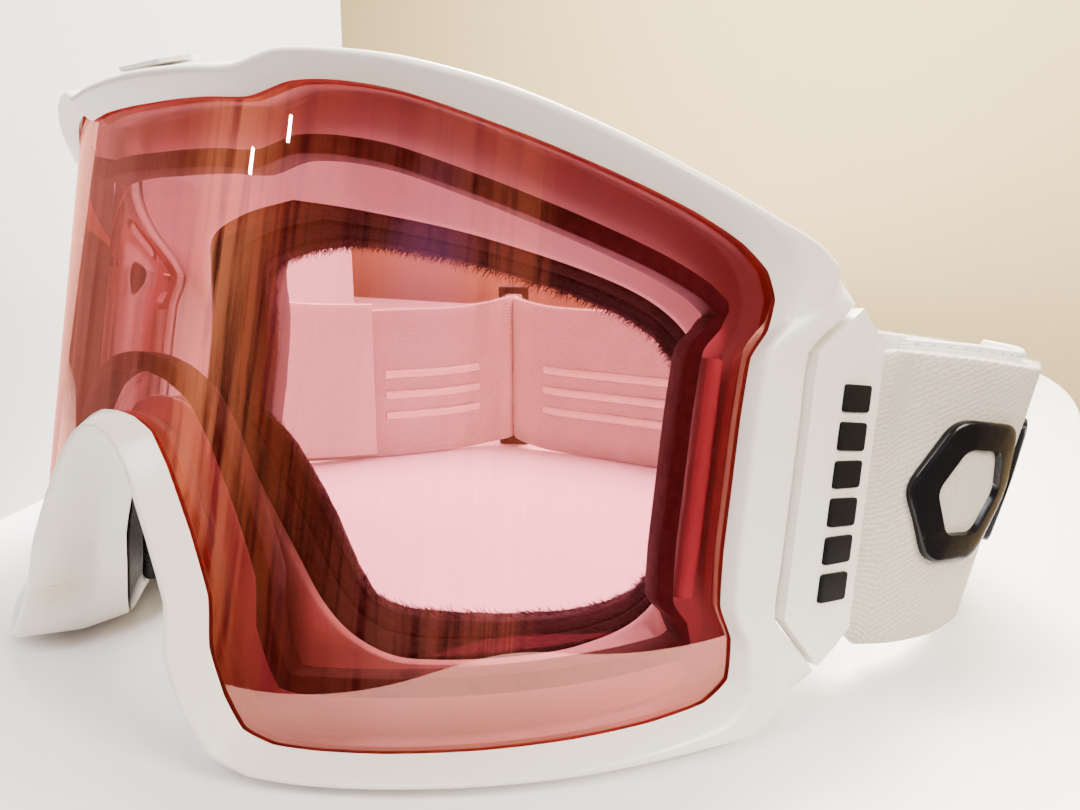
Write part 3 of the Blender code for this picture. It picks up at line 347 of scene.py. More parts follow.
class Nodes:
    """Short ways to add shader nodes to one material, or to the world."""

    def __init__(self, owner):
        self.tree = owner.node_tree
        self.shader = self.tree.nodes.get("Principled BSDF")
        place = self.tree.nodes.new("ShaderNodeTexCoord")
        self.place = place.outputs["Object" if self.shader else "Generated"]

    def add(self, kind, **settings):
        node = self.tree.nodes.new("ShaderNode" + kind)
        for key, value in settings.items():
            setattr(node, key, value)
        return node

    def link(self, source, target):
        self.tree.links.new(source, target)

    def noise(self, size, detail=2.0, roughness=0.5, vector=None, distortion=0.0):
        node = self.add("TexNoise")
        node.inputs["Scale"].default_value = 1.0 / (size * MM)
        node.inputs["Detail"].default_value = detail
        node.inputs["Roughness"].default_value = roughness
        node.inputs["Distortion"].default_value = distortion
        self.link(vector or self.place, node.inputs["Vector"])
        return node.outputs["Fac"]

    def cells(self, size, vector=None, feature="F1"):
        node = self.add("TexVoronoi", feature=feature)
        node.inputs["Scale"].default_value = 1.0 / (size * MM)
        self.link(vector or self.place, node.inputs["Vector"])
        return node.outputs["Distance"]

    def mapped(self, value, low, high, to_low=0.0, to_high=1.0):
        node = self.add("MapRange")
        for socket, number in zip(("From Min", "From Max", "To Min", "To Max"),
                                  (low, high, to_low, to_high)):
            node.inputs[socket].default_value = number
        self.link(value, node.inputs["Value"])
        return node.outputs["Result"]

    def math(self, operation, a, b):
        node = self.add("Math", operation=operation)
        for socket, value in zip(node.inputs, (a, b)):
            if isinstance(value, (int, float)):
                socket.default_value = value
            else:
                self.link(value, socket)
        return node.outputs["Value"]

    def near(self, centre, radius, soft):
        """1 within a radius of a place in the row frame, fading to 0 over a further distance."""
        node = self.add("VectorMath", operation="DISTANCE")
        self.link(self.place, node.inputs[0])
        node.inputs[1].default_value = centre
        return self.mapped(node.outputs["Value"], radius, radius + soft, 1.0, 0.0)

    def ramp(self, value, stops):
        """Colours at places from 0 to 1."""
        node = self.add("ValToRGB")
        while len(node.color_ramp.elements) < len(stops):
            node.color_ramp.elements.new(0.5)
        for element, (at, colour) in zip(node.color_ramp.elements, stops):
            element.position = at
            element.color = (*colour, 1.0)
        self.link(value, node.inputs["Fac"])
        return node.outputs["Color"]

    def mix(self, factor, first, second):
        node = self.add("Mix", data_type="RGBA")
        self.link(factor, node.inputs["Factor"])
        for socket, colour in ((node.inputs["A"], first), (node.inputs["B"], second)):
            if isinstance(colour, tuple):
                socket.default_value = (*colour, 1.0)
            else:
                self.link(colour, socket)
        return node.outputs["Result"]

    def mottle(self, size, first, second, detail=2.0, vector=None):
        """Two colours blended by noise."""
        return self.mix(self.mapped(self.noise(size, detail, vector=vector), 0.3, 0.7), first, second)

    def colour(self, source):
        self.link(source, self.shader.inputs["Base Color"])

    def roughness(self, source):
        self.link(source, self.shader.inputs["Roughness"])

    def bump(self, height, depth, strength=1.0):
        """Bump of a depth in mm; further calls stack."""
        node = self.add("Bump")
        node.inputs["Strength"].default_value = strength
        node.inputs["Distance"].default_value = depth * MM
        self.link(height, node.inputs["Height"])
        normal = self.shader.inputs["Normal"]
        if normal.is_linked:
            self.link(normal.links[0].from_socket, node.inputs["Normal"])
        self.link(node.outputs["Normal"], normal)


def moulded_white():
    """Satin white plastic with a faint grain, patches, paler edges, scuffs and a worn spot."""
    made = skin("white_frame", (0.84, 0.82, 0.78), 0.34, Coat_Weight=0.15, Coat_Roughness=0.12)
    n = Nodes(made)
    patch = n.mapped(n.noise(38.0, 2.0), 0.35, 0.7)
    base = n.mix(patch, (0.85, 0.82, 0.76), (0.82, 0.77, 0.68))
    worn = round_lens(-13.0, -31.0, -1.0)
    stain = n.near(GOGGLES @ (worn * MM), 0.001, 0.005)
    base = n.mix(n.math("MULTIPLY", stain, 0.55), base, (0.66, 0.55, 0.32))
    specks = n.mapped(n.noise(0.7, 5.0, 0.75), 0.6, 0.64)
    marks = n.math("MULTIPLY", specks, n.near(GOGGLES @ (worn * MM), 0.0015, 0.002))
    edge = n.add("NewGeometry").outputs["Pointiness"]
    base = n.mix(n.mapped(edge, 0.53, 0.6, 0.0, 0.5), base, (0.9, 0.87, 0.8))
    n.colour(n.mix(marks, base, (0.1, 0.08, 0.07)))
    scuffs = n.mapped(n.noise(2.2, 6.0, 0.7, distortion=1.4), 0.56, 0.68)
    n.roughness(n.mapped(scuffs, 0.0, 1.0, 0.3, 0.5))
    n.bump(n.noise(0.35, 3.0, 0.6), 0.006)
    n.bump(n.noise(6.0, 2.0), 0.03)
    return made


def pebbled_white():
    """The face flange: white plastic with a leathery texture, dark inside the nose arch."""
    made = skin("pebbled_white", (0.8, 0.76, 0.72), 0.5, Specular_IOR_Level=0.2)
    n = Nodes(made)
    pale = n.mottle(20.0, (0.82, 0.79, 0.75), (0.76, 0.71, 0.66))
    nose = n.near(GOGGLES @ (Vector((0.0, 20.0, -24.0)) * MM), 0.026, 0.006)
    n.colour(n.mix(nose, pale, (0.02, 0.016, 0.015)))
    n.bump(n.cells(1.1, feature="SMOOTH_F1"), 0.12, 0.8)
    n.bump(n.noise(0.5, 3.0), 0.03)
    return made


def tinted(name, through, mirror, least, roughness):
    """Clear panel: tinted light goes through unbent, and a thin coating mirrors the rest."""
    made = bpy.data.materials.new(name)
    made.use_nodes = True
    tree = made.node_tree
    tree.nodes.remove(tree.nodes["Principled BSDF"])
    clear = tree.nodes.new("ShaderNodeBsdfTransparent")
    clear.inputs["Color"].default_value = (*through, 1.0)
    gloss = tree.nodes.new("ShaderNodeBsdfGlossy")
    gloss.inputs["Color"].default_value = (*mirror, 1.0)
    gloss.inputs["Roughness"].default_value = roughness
    edge = tree.nodes.new("ShaderNodeFresnel")
    edge.inputs["IOR"].default_value = 1.55
    share = tree.nodes.new("ShaderNodeMapRange")
    share.inputs["To Min"].default_value = least
    tree.links.new(edge.outputs["Fac"], share.inputs["Value"])
    both = tree.nodes.new("ShaderNodeMixShader")
    tree.links.new(share.outputs["Result"], both.inputs["Fac"])
    tree.links.new(clear.outputs["BSDF"], both.inputs[1])
    tree.links.new(gloss.outputs["BSDF"], both.inputs[2])
    tree.links.new(both.outputs["Shader"], tree.nodes["Material Output"].inputs["Surface"])
    return made


def open_foam(name, colour, cell):
    """Open-cell foam with pores of a size in mm."""
    made = skin(name, colour, 0.95, Specular_IOR_Level=0.05)
    n = Nodes(made)
    pores = n.cells(cell)
    shade = n.mapped(pores, 0.1, 0.6)
    dark = tuple(c * 0.35 for c in colour)
    n.colour(n.mix(shade, dark, tuple(c * 1.5 for c in colour)))
    n.bump(pores, 0.35, 0.9)
    n.bump(n.noise(0.4, 3.0), 0.1)
    return made


def brushed_fleece():
    """Black fleece of the face pad."""
    made = skin("black_fleece", (0.018, 0.012, 0.014), 0.9, Sheen_Weight=0.12, Sheen_Roughness=0.6)
    n = Nodes(made)
    nap = n.noise(0.7, 6.0, 0.75)
    n.colour(n.mix(n.mapped(nap, 0.35, 0.7), (0.009, 0.006, 0.008), (0.045, 0.03, 0.035)))
    n.bump(nap, 0.3, 0.9)
    return made


def gloss_black():
    """Glossy black plastic with a little dust."""
    made = skin("black_gloss", (0.004, 0.004, 0.005), 0.2, Specular_IOR_Level=0.2)
    n = Nodes(made)
    specks = n.mapped(n.noise(0.35, 4.0, 0.7), 0.66, 0.74)
    n.colour(n.mix(specks, (0.006, 0.006, 0.007), (0.12, 0.12, 0.12)))
    n.roughness(n.mapped(n.noise(5.0, 3.0), 0.3, 0.7, 0.16, 0.3))
    n.bump(n.noise(1.4, 2.0), 0.012)
    return made


def twill():
    """Cream brushed webbing: diagonal ribs with a soft nap, read from the strap's UV map, with painted
    shade in the grooves and the low nap.
    """
    made = skin("cream_strap", (0.8, 0.76, 0.68), 0.95, Sheen_Weight=0.35, Sheen_Roughness=0.5)
    n = Nodes(made)
    uv = n.add("UVMap").outputs["UV"]
    turn = n.add("Mapping")
    turn.inputs["Rotation"].default_value = (0.0, 0.0, radians(-24.0))
    n.link(uv, turn.inputs["Vector"])
    ribs = n.add("TexWave", bands_direction="Y")
    ribs.inputs["Scale"].default_value = pi / 10 / (0.8 * MM)
    ribs.inputs["Distortion"].default_value = 3.0
    ribs.inputs["Detail"].default_value = 2.0
    ribs.inputs["Detail Scale"].default_value = 2.5
    n.link(turn.outputs["Vector"], ribs.inputs["Vector"])
    nap = n.noise(0.55, 5.0, 0.8, vector=uv)
    broad = n.noise(9.0, 3.0, vector=uv)
    height = n.math("ADD", n.math("MULTIPLY", ribs.outputs["Fac"], 0.24), nap)
    # painted shade: the colour darkens where the ribs and nap are low, following the bump's height
    shade = n.mapped(height, 0.42, 0.86)
    ribs_with_painted_shade = n.mix(shade, (0.46, 0.39, 0.29), (0.78, 0.72, 0.61))
    n.colour(n.mix(n.mapped(broad, 0.3, 0.7, 0.0, 0.3), ribs_with_painted_shade, (0.8, 0.75, 0.66)))
    n.bump(height, 0.3, 0.9)
    return made


def smooth_cream():
    """Fine knit of the strap's inner layer, read from its UV map."""
    made = skin("cream_lining", (0.8, 0.76, 0.69), 0.7, Sheen_Weight=0.2)
    n = Nodes(made)
    uv = n.add("UVMap").outputs["UV"]
    knit = n.add("TexWave", bands_direction="Y")
    knit.inputs["Scale"].default_value = pi / 10 / (0.6 * MM)
    n.link(uv, knit.inputs["Vector"])
    n.colour(n.mottle(3.0, (0.77, 0.73, 0.66), (0.82, 0.79, 0.73), 4.0, uv))
    n.bump(knit.outputs["Fac"], 0.08, 0.7)
    return made


def silicone():
    """Yellowed clear silicone of the grip stripes."""
    made = skin("silicone", (0.9, 0.82, 0.66), 0.3, Coat_Weight=0.3)
    n = Nodes(made)
    n.colour(n.mottle(2.5, (0.92, 0.85, 0.7), (0.86, 0.76, 0.58), 3.0))
    n.bump(n.noise(0.8, 3.0), 0.05)
    return made


def rubber(name, colour, shine=0.5):
    """Matt rubber or hard foam."""
    made = skin(name, colour, 0.6, Specular_IOR_Level=shine)
    n = Nodes(made)
    n.colour(n.mottle(1.5, colour, tuple(c * 1.6 for c in colour), 4.0))
    n.bump(n.noise(0.6, 3.0), 0.03)
    return made


def steel():
    made = skin("steel_pin", (0.58, 0.58, 0.6), 0.3, Metallic=1.0)
    n = Nodes(made)
    n.roughness(n.mapped(n.noise(0.6, 4.0), 0.3, 0.7, 0.22, 0.4))
    return made


def thread():
    made = skin("thread", (0.36, 0.43, 0.52), 0.8)
    n = Nodes(made)
    n.colour(n.mottle(0.5, (0.3, 0.38, 0.48), (0.5, 0.56, 0.64), 3.0))
    return made


WHITE = moulded_white()
PEBBLED = pebbled_white()
ROSE = tinted("rose_lens", (0.93, 0.26, 0.36), (1.0, 0.4, 0.32), 0.2, 0.012)
CLEAR = tinted("inner_lens", (0.98, 0.92, 0.9), (1.0, 0.85, 0.85), 0.04, 0.02)
FOAM = open_foam("black_foam", (0.011, 0.01, 0.01), 0.9)
GREY = open_foam("grey_foam", (0.015, 0.014, 0.013), 1.2)
FLEECE = brushed_fleece()
GLOSS = gloss_black()
TWILL = twill()
LINING = smooth_cream()
SILICONE = silicone()
GASKET = rubber("dark_gasket", (0.06, 0.05, 0.05))
STEEL = steel()
THREAD = thread()
INK = rubber("bar_black", (0.003, 0.003, 0.0035), 0.1)
LINT = skin("lint", (0.86, 0.83, 0.77), 0.9, Sheen_Weight=0.4)


# ---- frame, lenses, gasket and flange -----------------------------------------------------------
def nose_share(station):
    """0 round the eyes, rising to 1 along the nose arch, where the frame is slimmer."""
    return max(0.0, min(1.0, (station - 25.0) / 4.0))


def inward_at(station):
    """Direction from the frame's rear edge into the goggles."""
    return (seat(station, -4.0, -12.0) - rim_rail(REAR_EDGE, station)).normalized()


def recess(station):
    """Bottom corner of the recess under the outrigger, or a point on the outer wall."""
    first, last = 11.0, 19.0
    plain = rim_rail(CROWN, station).lerp(rim_rail(REAR_EDGE, station), 0.2)
    angle, height, _ = crisp_rail(RIM_RAILS[CROWN], station)
    share = max(0.0, min(1.0, station - first, last - station))
    return plain.lerp(round_lens(angle, height, -5.0), share)


FRONT_LIP = 0.3             # radial offset of the rim beside the lens
GROOVE_DEPTH, GROOVE_BACK = 2.2, -2.1
WALL = 2.6
FRAME_FILLETS = (0.2, 1.1, 1.0, 2.2, 1.0, 0.8, 0.8, 1.2, 0.5, 0.5, 0.6, 0.2, 0.1, 0.1, 0.15)


def frame_ring(station):
    """Section of the frame: over the front, along the outer wall, and back inside to the groove."""
    rear = rim_rail(REAR_EDGE, station)
    nose = nose_share(station)
    shelf = -5.5 + 3.0 * nose
    back = 2.0 * nose
    ring = [seat(station, 0.0, FRONT_LIP)]
    ring += [rim_rail(column, station) for column in (FRONT_RIDGE, RIDGE_SIDE, CROWN)]
    ring += [recess(station), rear, rear + inward_at(station) * WALL]
    ring += [seat(station, 3.2 - 1.2 * nose, -10.6 + back)]
    ring += [seat(station, shelf, -10.4 + back), seat(station, shelf, -9.0 + back)]
    ring += [seat(station, 1.2, -7.4 + back), seat(station, 0.2, -3.6)]
    ring += [seat(station, 0.2, GROOVE_BACK), seat(station, GROOVE_DEPTH, GROOVE_BACK)]
    ring += [seat(station, GROOVE_DEPTH, FRONT_LIP)]
    return filleted(ring, FRAME_FILLETS)


def build_frame():
    shell = loft("frame_moulding", rounds(frame_ring), WHITE, closed=True)
    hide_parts("frame_shell")


def inside(outline, x, y):
    """Whether a point lies in a closed outline."""
    crossings = 0
    for p, q in zip(outline, outline[1:] + outline[:1]):
        if (p.y > y) != (q.y > y) and x < p.x + (q.x - p.x) * (y - p.y) / (q.y - p.y):
            crossings += 1
    return crossings % 2 == 1


LENS_PITCH = 2.5            # grid of points over a lens panel


def lens_panel(name, node, surface, grow, offset, thickness, reach):
    """Curved panel with an edge as deep as it is thick.

    An even grid of points fills the flat outline, which is rolled onto the cylinder.  One tinted
    surface stands for the whole thickness, so a view through both panels stays clear.
    """
    half = []
    for i in range(STATIONS * 3 + 1):
        station = i / 3
        point = lens_outline(station) + outline_normal(station, reach) * grow
        half.append(Vector((0.0, point.y)) if station in (0, STATIONS) else point)
    outline = half + [Vector((-p.x, p.y)) for p in reversed(half[1:-1])]
    flat = list(outline)
    spots = np.array([(p.x, p.y) for p in outline])
    columns = round(max(spots[:, 0]) / LENS_PITCH) + 1
    rows = round(max(spots[:, 1]) / LENS_PITCH) + 1
    for i in range(-columns, columns + 1):
        for k in range(-rows, rows + 1):
            x, y = i * LENS_PITCH, k * LENS_PITCH
            clear = np.hypot(spots[:, 0] - x, spots[:, 1] - y).min()
            if inside(outline, x, y) and clear > 0.6 * LENS_PITCH:
                flat.append(Vector((x, y)))
    rim = [tuple(range(len(outline)))]
    flat, _, triangles, *_ = geometry.delaunay_2d_cdt(flat, [], rim, 1, 1e-5)
    points = [round_lens(math.degrees(p.x / LENS_RADIUS), p.y, offset) for p in flat]
    seen = {}
    for triangle in triangles:
        for i, corner in enumerate(triangle):
            edge = (corner, triangle[(i + 1) % 3])
            seen[frozenset(edge)] = None if frozenset(edge) in seen else edge
    edges = [edge for edge in seen.values() if edge]
    behind = {}
    for corner in {c for edge in edges for c in edge}:
        behind[corner] = len(points)
        p = flat[corner]
        points.append(round_lens(math.degrees(p.x / LENS_RADIUS), p.y, offset - thickness))
    faces = [tuple(t) for t in triangles] + [(b, a, behind[a], behind[b]) for a, b in edges]
    panel = add_mesh(name, points, faces, surface, "frame", angle=50.0)
    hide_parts(node)
    return panel


def gasket_ring(station):
    """Square section between the two panels."""
    outer, inner, front, back, reach = -6.4, -9.2, -2.2, -6.2, 3.0
    corners = [(outer, front), (inner, front), (inner, back), (outer, back)]
    return filleted([seat(station, out, offset, reach) for out, offset in corners], (0.3,) * 4, 2)


def build_gasket():
    gasket = loft("lens_gasket", rounds(gasket_ring), GASKET, closed=True)
    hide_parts("lens_spacer_gasket")


TOP_VENT, LOWER_VENT = (0, 8), (21, 25)             # stations of the vents
TOP_GAP, LOWER_GAP, CLOSED_GAP = 5.6, 4.6, 0.4


def vent_gap(station):
    """Gap between the frame's rear edge and the flange."""
    (_, top), (low, high) = TOP_VENT, LOWER_VENT
    return float(np.interp(station, (top, top + 1, low - 1, low, high, high + 1),
                           (TOP_GAP, CLOSED_GAP, CLOSED_GAP, LOWER_GAP, LOWER_GAP, CLOSED_GAP)))


def flange_front(station):
    """Front edge of the flange's outer wall, past the gap or vent behind the frame."""
    rear = rim_rail(REAR_EDGE, station)
    return rear + (face_rail(FLANGE_EDGE, station) - rear).normalized() * vent_gap(station)


FLANGE_THICK = 1.8


def flange_ring(station):
    """Section of the flange: its outer wall, its rear face and the funnel in to the lens."""
    thick = FLANGE_THICK
    front = flange_front(station)
    outer = face_rail(FLANGE_EDGE, station)
    edge = face_rail(FUNNEL_EDGE, station)
    back = (face_rail(EYE_PORT, station) - edge).normalized()
    across = (outer - edge).normalized()
    nose = nose_share(station)
    funnel = seat(station, -5.0 + 2.6 * nose, -11.0 + 2.0 * nose)
    funnel_out = seat(station, -2.8 + 2.2 * nose, -11.2 + 2.0 * nose)
    wall = min(thick, 0.4 * (front - outer).length)
    ring = [front, outer, edge + back * thick, edge, funnel, funnel_out, edge + across * 2.4,
            outer - across * thick + (front - outer).normalized() * wall,
            front + inward_at(station) * thick]
    return filleted(ring, (0.5, 0.9, 0.4, 0.5, 0.6, 0.5, 0.6, 0.6, 0.5), 3)


def build_flange():
    flange = loft("face_flange_moulding", rounds(flange_ring), PEBBLED, closed=True)
    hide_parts("face_flange")


# ---- foam --------------------------------------------------------------------------------------
def foam_corners(station, start, end):
    """Section of a layer between two shares of the way to the face: outer, inner, inner, outer."""
    outer = face_rail(FLANGE_EDGE, station)
    edge = face_rail(FUNNEL_EDGE, station)
    port = face_rail(EYE_PORT, station)
    face = face_rail(FACE_EDGE, station)
    edge = edge + (port - edge).normalized() * FLANGE_THICK
    return [outer.lerp(face, start), edge.lerp(port, start), edge.lerp(port, end), outer.lerp(face, end)]


def inflate(piece, glued, most):
    """Cloth simulation of a filled cover: glued points stay, and the rest move at most so many mm."""
    rest = [vert.co.copy() for vert in piece.data.vertices]
    group = piece.vertex_groups.new(name="glued")
    group.add(glued, 1.0, "REPLACE")
    cloth = piece.modifiers.new("cover", "CLOTH")
    cloth.settings.quality = 4
    cloth.settings.mass = 0.02
    cloth.settings.tension_stiffness = 6.0
    cloth.settings.compression_stiffness = 6.0
    cloth.settings.bending_stiffness = 0.2
    cloth.settings.use_pressure = True
    cloth.settings.uniform_pressure_force = 4.0
    cloth.settings.vertex_group_mass = "glued"
    cloth.settings.effector_weights.gravity = 0.0
    for number in range(1, 21):
        bpy.context.scene.frame_set(number)
    graph = bpy.context.evaluated_depsgraph_get()
    moved = [vert.co.copy() for vert in piece.evaluated_get(graph).data.vertices]
    piece.modifiers.remove(cloth)
    bpy.context.scene.frame_set(1)
    for vert, before, after in zip(piece.data.vertices, rest, moved):
        shift = after - before
        reach = min(shift.length, most * MM)
        vert.co = before + (shift.normalized() * reach if reach else shift)


def build_foam_layer(layer, radius, swell, roughen, puff):
    """Ring of foam with soft corners and slightly hollow or swollen sides."""
    name, node, slot, start, end, surface = layer

    def ring_at(station):
        a, b, c, d = foam_corners(station, start, end)
        middle = (a + b + c + d) / 4
        inner = (b + c) / 2 + ((b + c) / 2 - middle).normalized() * swell
        outer = (a + d) / 2 + ((a + d) / 2 - middle).normalized() * swell
        rear = (c + d) / 2 + ((c + d) / 2 - (a + b) / 2).normalized() * swell * 1.6
        ring = [a, (a + b) / 2, b, inner, c, rear, d, outer]
        whole = 9.0             # more than a side: the corner becomes one arc
        radii = (radius, whole, radius, whole, radius * 1.5, whole, radius * 1.5, whole)
        return filleted(ring, radii, 3)

    made = loft(name, rounds(ring_at, fine=4), surface, closed=True, angle=80.0)
    if puff:
        per_ring, front = 32, 12
        glued = [i for i in range(len(made.data.vertices)) if i % per_ring < front]
        inflate(made, glued, puff)
    normals = [vert.normal.copy() for vert in made.data.vertices]
    for vert, normal in zip(made.data.vertices, normals):
        grain = noise.noise(vert.co / (2.6 * MM)) + 0.5 * noise.noise(vert.co / (0.9 * MM))
        vert.co += normal * grain * roughen * MM
    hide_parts(node)


FACE_LAYER = (0.81, 1.0)    # share of the way from the flange to the face
FOAM_LAYERS = (
    (("base_foam", "foam_base_layer", "grey_foam", 0.04, 0.42, GREY), 0.7, 0.35, 0.16, 0.0),
    (("middle_foam", "foam_middle_layer", "black_foam", 0.44, 0.79, FOAM), 0.8, 0.4, 0.16, 0.0),
    (("face_fleece_pad", "face_fleece", "black_fleece", *FACE_LAYER, FLEECE), 1.0, 0.5, 0.22, 1.2))


def build_foam():
    for row in FOAM_LAYERS:
        build_foam_layer(*row)


def vent_ring(station):
    """Section of the foam strip that fills a vent."""
    rear = rim_rail(REAR_EDGE, station)
    along = flange_front(station) - rear
    near = rear + along.normalized() * VENT_CLEARANCE
    far = rear + along - along.normalized() * VENT_CLEARANCE
    inward = inward_at(station)
    ring = [near + inward * 0.5, far + inward * 0.5, far + inward * 2.2, near + inward * 2.2]
    return filleted(ring, (0.4,) * 4, 2)


def build_vents():
    left = rounds(vent_ring, *LOWER_VENT)
    vents = (("top_vent_strip", "top_vent_foam", rounds(vent_ring, *TOP_VENT)),
             ("lower_vent_strip_left", "lower_vent_foam_left", left),
             ("lower_vent_strip_right", "lower_vent_foam_right", [mirrored(ring) for ring in left]))
    for name, node, rings in vents:
        strip_of_foam = loft(name, rings, GREY)
        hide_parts(node)


# ---- pieces kept from the design, with softer edges ------------------------------------------------
def softened(name, node, surface, body, width):
    """Copy of a CAD node's mesh with its flat facets joined and its edges rounded."""
    mesh = frame["nodes"][node].data.copy()
    bm = bmesh.new()
    bm.from_mesh(mesh)
    bmesh.ops.remove_doubles(bm, verts=bm.verts, dist=0.02 * MM)
    bmesh.ops.dissolve_limit(bm, angle_limit=radians(2.0), verts=bm.verts, edges=bm.edges)
    bm.to_mesh(mesh)
    bm.free()
    mesh.materials.clear()
    mesh.materials.append(surface)
    piece = linked(name, mesh)
    edge = piece.modifiers.new("soft edges", "BEVEL")
    edge.width = width * MM
    edge.segments = 3
    edge.limit_method = "ANGLE"
    edge.angle_limit = radians(20.0)
    edge.harden_normals = True
    mesh.shade_smooth()
    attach(piece, body)
    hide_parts(node)
    return piece


def build_kept_pieces():
    """Every CAD shape that needs only soft edges and a material, with the width of its edges."""
    for side in SIDES.values():
        hung = f"outrigger_{side}"
        rows = (("outrigger_plate", "outrigger", hung, 0.35),
                ("lens_catch_post", "lens_post", "frame", 1.5),
                ("strap_hanger", "strap_bar", hung, 0.3),
                ("pin_lug_upper", "hinge_lug_upper", "frame", 0.25),
                ("pin_lug_lower", "hinge_lug_lower", "frame", 0.25))
        for name, node, body, width in rows:
            softened(f"{name}_{side}", f"{node}_{side}", WHITE, body, width)
        softened(f"hinge_steel_{side}", f"hinge_pin_{side}", STEEL, "frame", 0.15)
    softened("brow_emblem", "brow_pad", WHITE, "frame", 0.4)
    softened("strap_adjuster", "strap_slider", GLOSS, "slider", 0.7)


PLATE_FLAT = 3.4            # radial offset of the outrigger's flat face
BARS = 6                    # grip bars down each outrigger
BAR_LOW, BAR_HIGH = -15.5, 20.0
BAR_FRONT, BAR_REAR = 71.4, 75.8
BAR_STEPS = ((1.0, -0.2), (1.0, 0.4), (0.95, 0.54), (0.85, 0.56))  # size and rise of each row


def build_grip_bars(sign, side):
    """Row of plain black bars moulded into the outrigger's flat face."""
    pitch = (BAR_HIGH - BAR_LOW) / BARS
    half = 0.39 * pitch
    points, faces = [], []
    for i in range(BARS):
        middle = BAR_LOW + (i + 0.5) * pitch
        slant = 0.3 if i % 2 else 0.15
        corners = [(BAR_FRONT, middle - half), (BAR_REAR, middle - half + slant),
                   (BAR_REAR, middle + half), (BAR_FRONT, middle + half - slant)]
        outline = filleted([Vector((*corner, 0)) for corner in corners], (0.5,) * 4, 3)
        start, size = len(points), len(outline)
        centre = Vector(((BAR_FRONT + BAR_REAR) / 2, middle, 0))
        for grow, rise in BAR_STEPS:
            for corner in outline:
                at = centre + (corner - centre) * grow
                place = round_lens(at.x, at.y, PLATE_FLAT + rise)
                points.append(Vector((place.x * sign, place.y, place.z)))
        faces += tube_faces(size, len(BAR_STEPS), start) + caps(size, len(BAR_STEPS), start)
    bars = add_mesh(f"grip_bars_{side}", points, faces, INK, f"outrigger_{side}")
    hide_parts(f"outrigger_inlay_{side}")


# ---- strap ----------------------------------------------------------------------------------------
BAR_ANGLE, BAR_INSET, BAR_RADIUS = 75.0, -3.2, 1.2   # the bar that the strap loops round
LOOP_THICK = 1.6
LOOP_LOW, LOOP_HIGH = -19.5, 25.0
RIBBON_STEP = 2.0
TAIL_OFFSET = {1: 1.45, -1: -1.45}
BEND_LENGTH = 34.0          # distance along the route to the far point that bend finds and does not use


def tail_points(offset):
    """Route through the slider to the free end, beside the slider's middle plane."""
    normal = Vector((SLIDER_HEADING.y, -SLIDER_HEADING.x))
    points = []
    for along in (-5.0, 2.0, TAIL_LENGTH):
        at = SLIDER_AT + normal * offset + SLIDER_HEADING * along
        points.append((at.x, at.y, SLIDER_LIFT, 0.0, 0.0))
    return points


class Route:
    """One half of the strap: where its lower edge, width and outer side are at each distance."""

    def __init__(self, sign, points):
        self.sign = sign
        self.knots = []
        travelled = 0.0
        points = points + tail_points(TAIL_OFFSET[sign])
        for i, (x, y, *rest) in enumerate(points):
            if i:
                travelled += math.hypot(x - points[i - 1][0], y - points[i - 1][1])
            self.knots.append((travelled, Vector((x, y, *rest))))
        self.length = travelled

    def at(self, distance):
        """Lower edge, unit width direction and outward normal."""
        x, y, height, lean_x, lean_y = smooth_rail(self.knots, distance)
        ahead = smooth_rail(self.knots, min(distance + 1.0, self.length))
        behind = smooth_rail(self.knots, max(distance - 1.0, 0.0))
        along = Vector((ahead[0] - behind[0], ahead[1] - behind[1], 0.0)).normalized()
        rise = math.sqrt(STRAP_WIDTH**2 - lean_x**2 - lean_y**2)
        width = Vector((lean_x, lean_y, rise)).normalized()
        return Vector((x, y, height)), width, along.cross(width).normalized() * self.sign


ROUTES = {1: Route(1, STRAP_LEFT), -1: Route(-1, STRAP_RIGHT)}


def cross_section(rows=12):
    """(share of the width, share of the half thickness) round a strip with rounded edges."""
    outer = [(0.012 + 0.976 * i / rows, 1.0) for i in range(rows + 1)]
    inner = [(v, -1.0) for v, _ in reversed(outer)]
    return outer + [(0.997, 0.75), (1.0, 0.0), (0.997, -0.75)] + inner + [(0.003, -0.75), (0.0, 0.0),
                                                                           (0.003, 0.75)]


def strip(name, sections, thick, surface, body, wave=0.0):
    """Strip of cloth through (distance, lower edge, upper edge, outward normal), with a UV map."""
    shape = cross_section()
    rings = []
    for distance, low, high, normal in sections:
        ring = []
        for v, side in shape:
            point = low.lerp(high, v) + normal * side * thick / 2
            ripple = noise.noise(Vector((distance / 9.0, v * 5.0, 3.1))) * wave
            ring.append(point + normal * ripple)
        rings.append(ring)
    made = loft(name, rings, surface, body, STRAP, angle=70.0)
    middles = [(low + high) / 2 for _, low, high, _ in sections]
    width = (sections[0][2] - sections[0][1]).length
    travelled, leans = [0.0], []
    for i, (_, low, high, _) in enumerate(sections):
        if i:
            travelled.append(travelled[-1] + (middles[i] - middles[i - 1]).length)
        along = middles[min(i + 1, len(middles) - 1)] - middles[max(i - 1, 0)]
        leans.append((high - low).dot(along.normalized()))
    layer = made.data.uv_layers.new(name="UVMap")
    for loop in made.data.loops:
        ring, k = divmod(loop.vertex_index, len(shape))
        v = shape[k][0]
        layer.data[loop.index].uv = ((travelled[ring] + (v - 0.5) * leans[ring]) * MM, v * width * MM)
    return made


# on the plan: the strap's inner end behind the bar, and its way out to the front of the route
INNER_END = (Vector((86.6, 77.4, 0.0)), Vector((85.0, 73.6, 0.0)))
LOOP_EXIT = Vector((89.4, 73.4, 0.0))
BAR_OUT, BAR_FORWARD = Vector((0.97, -0.24, 0.0)), Vector((-0.24, -0.97, 0.0))


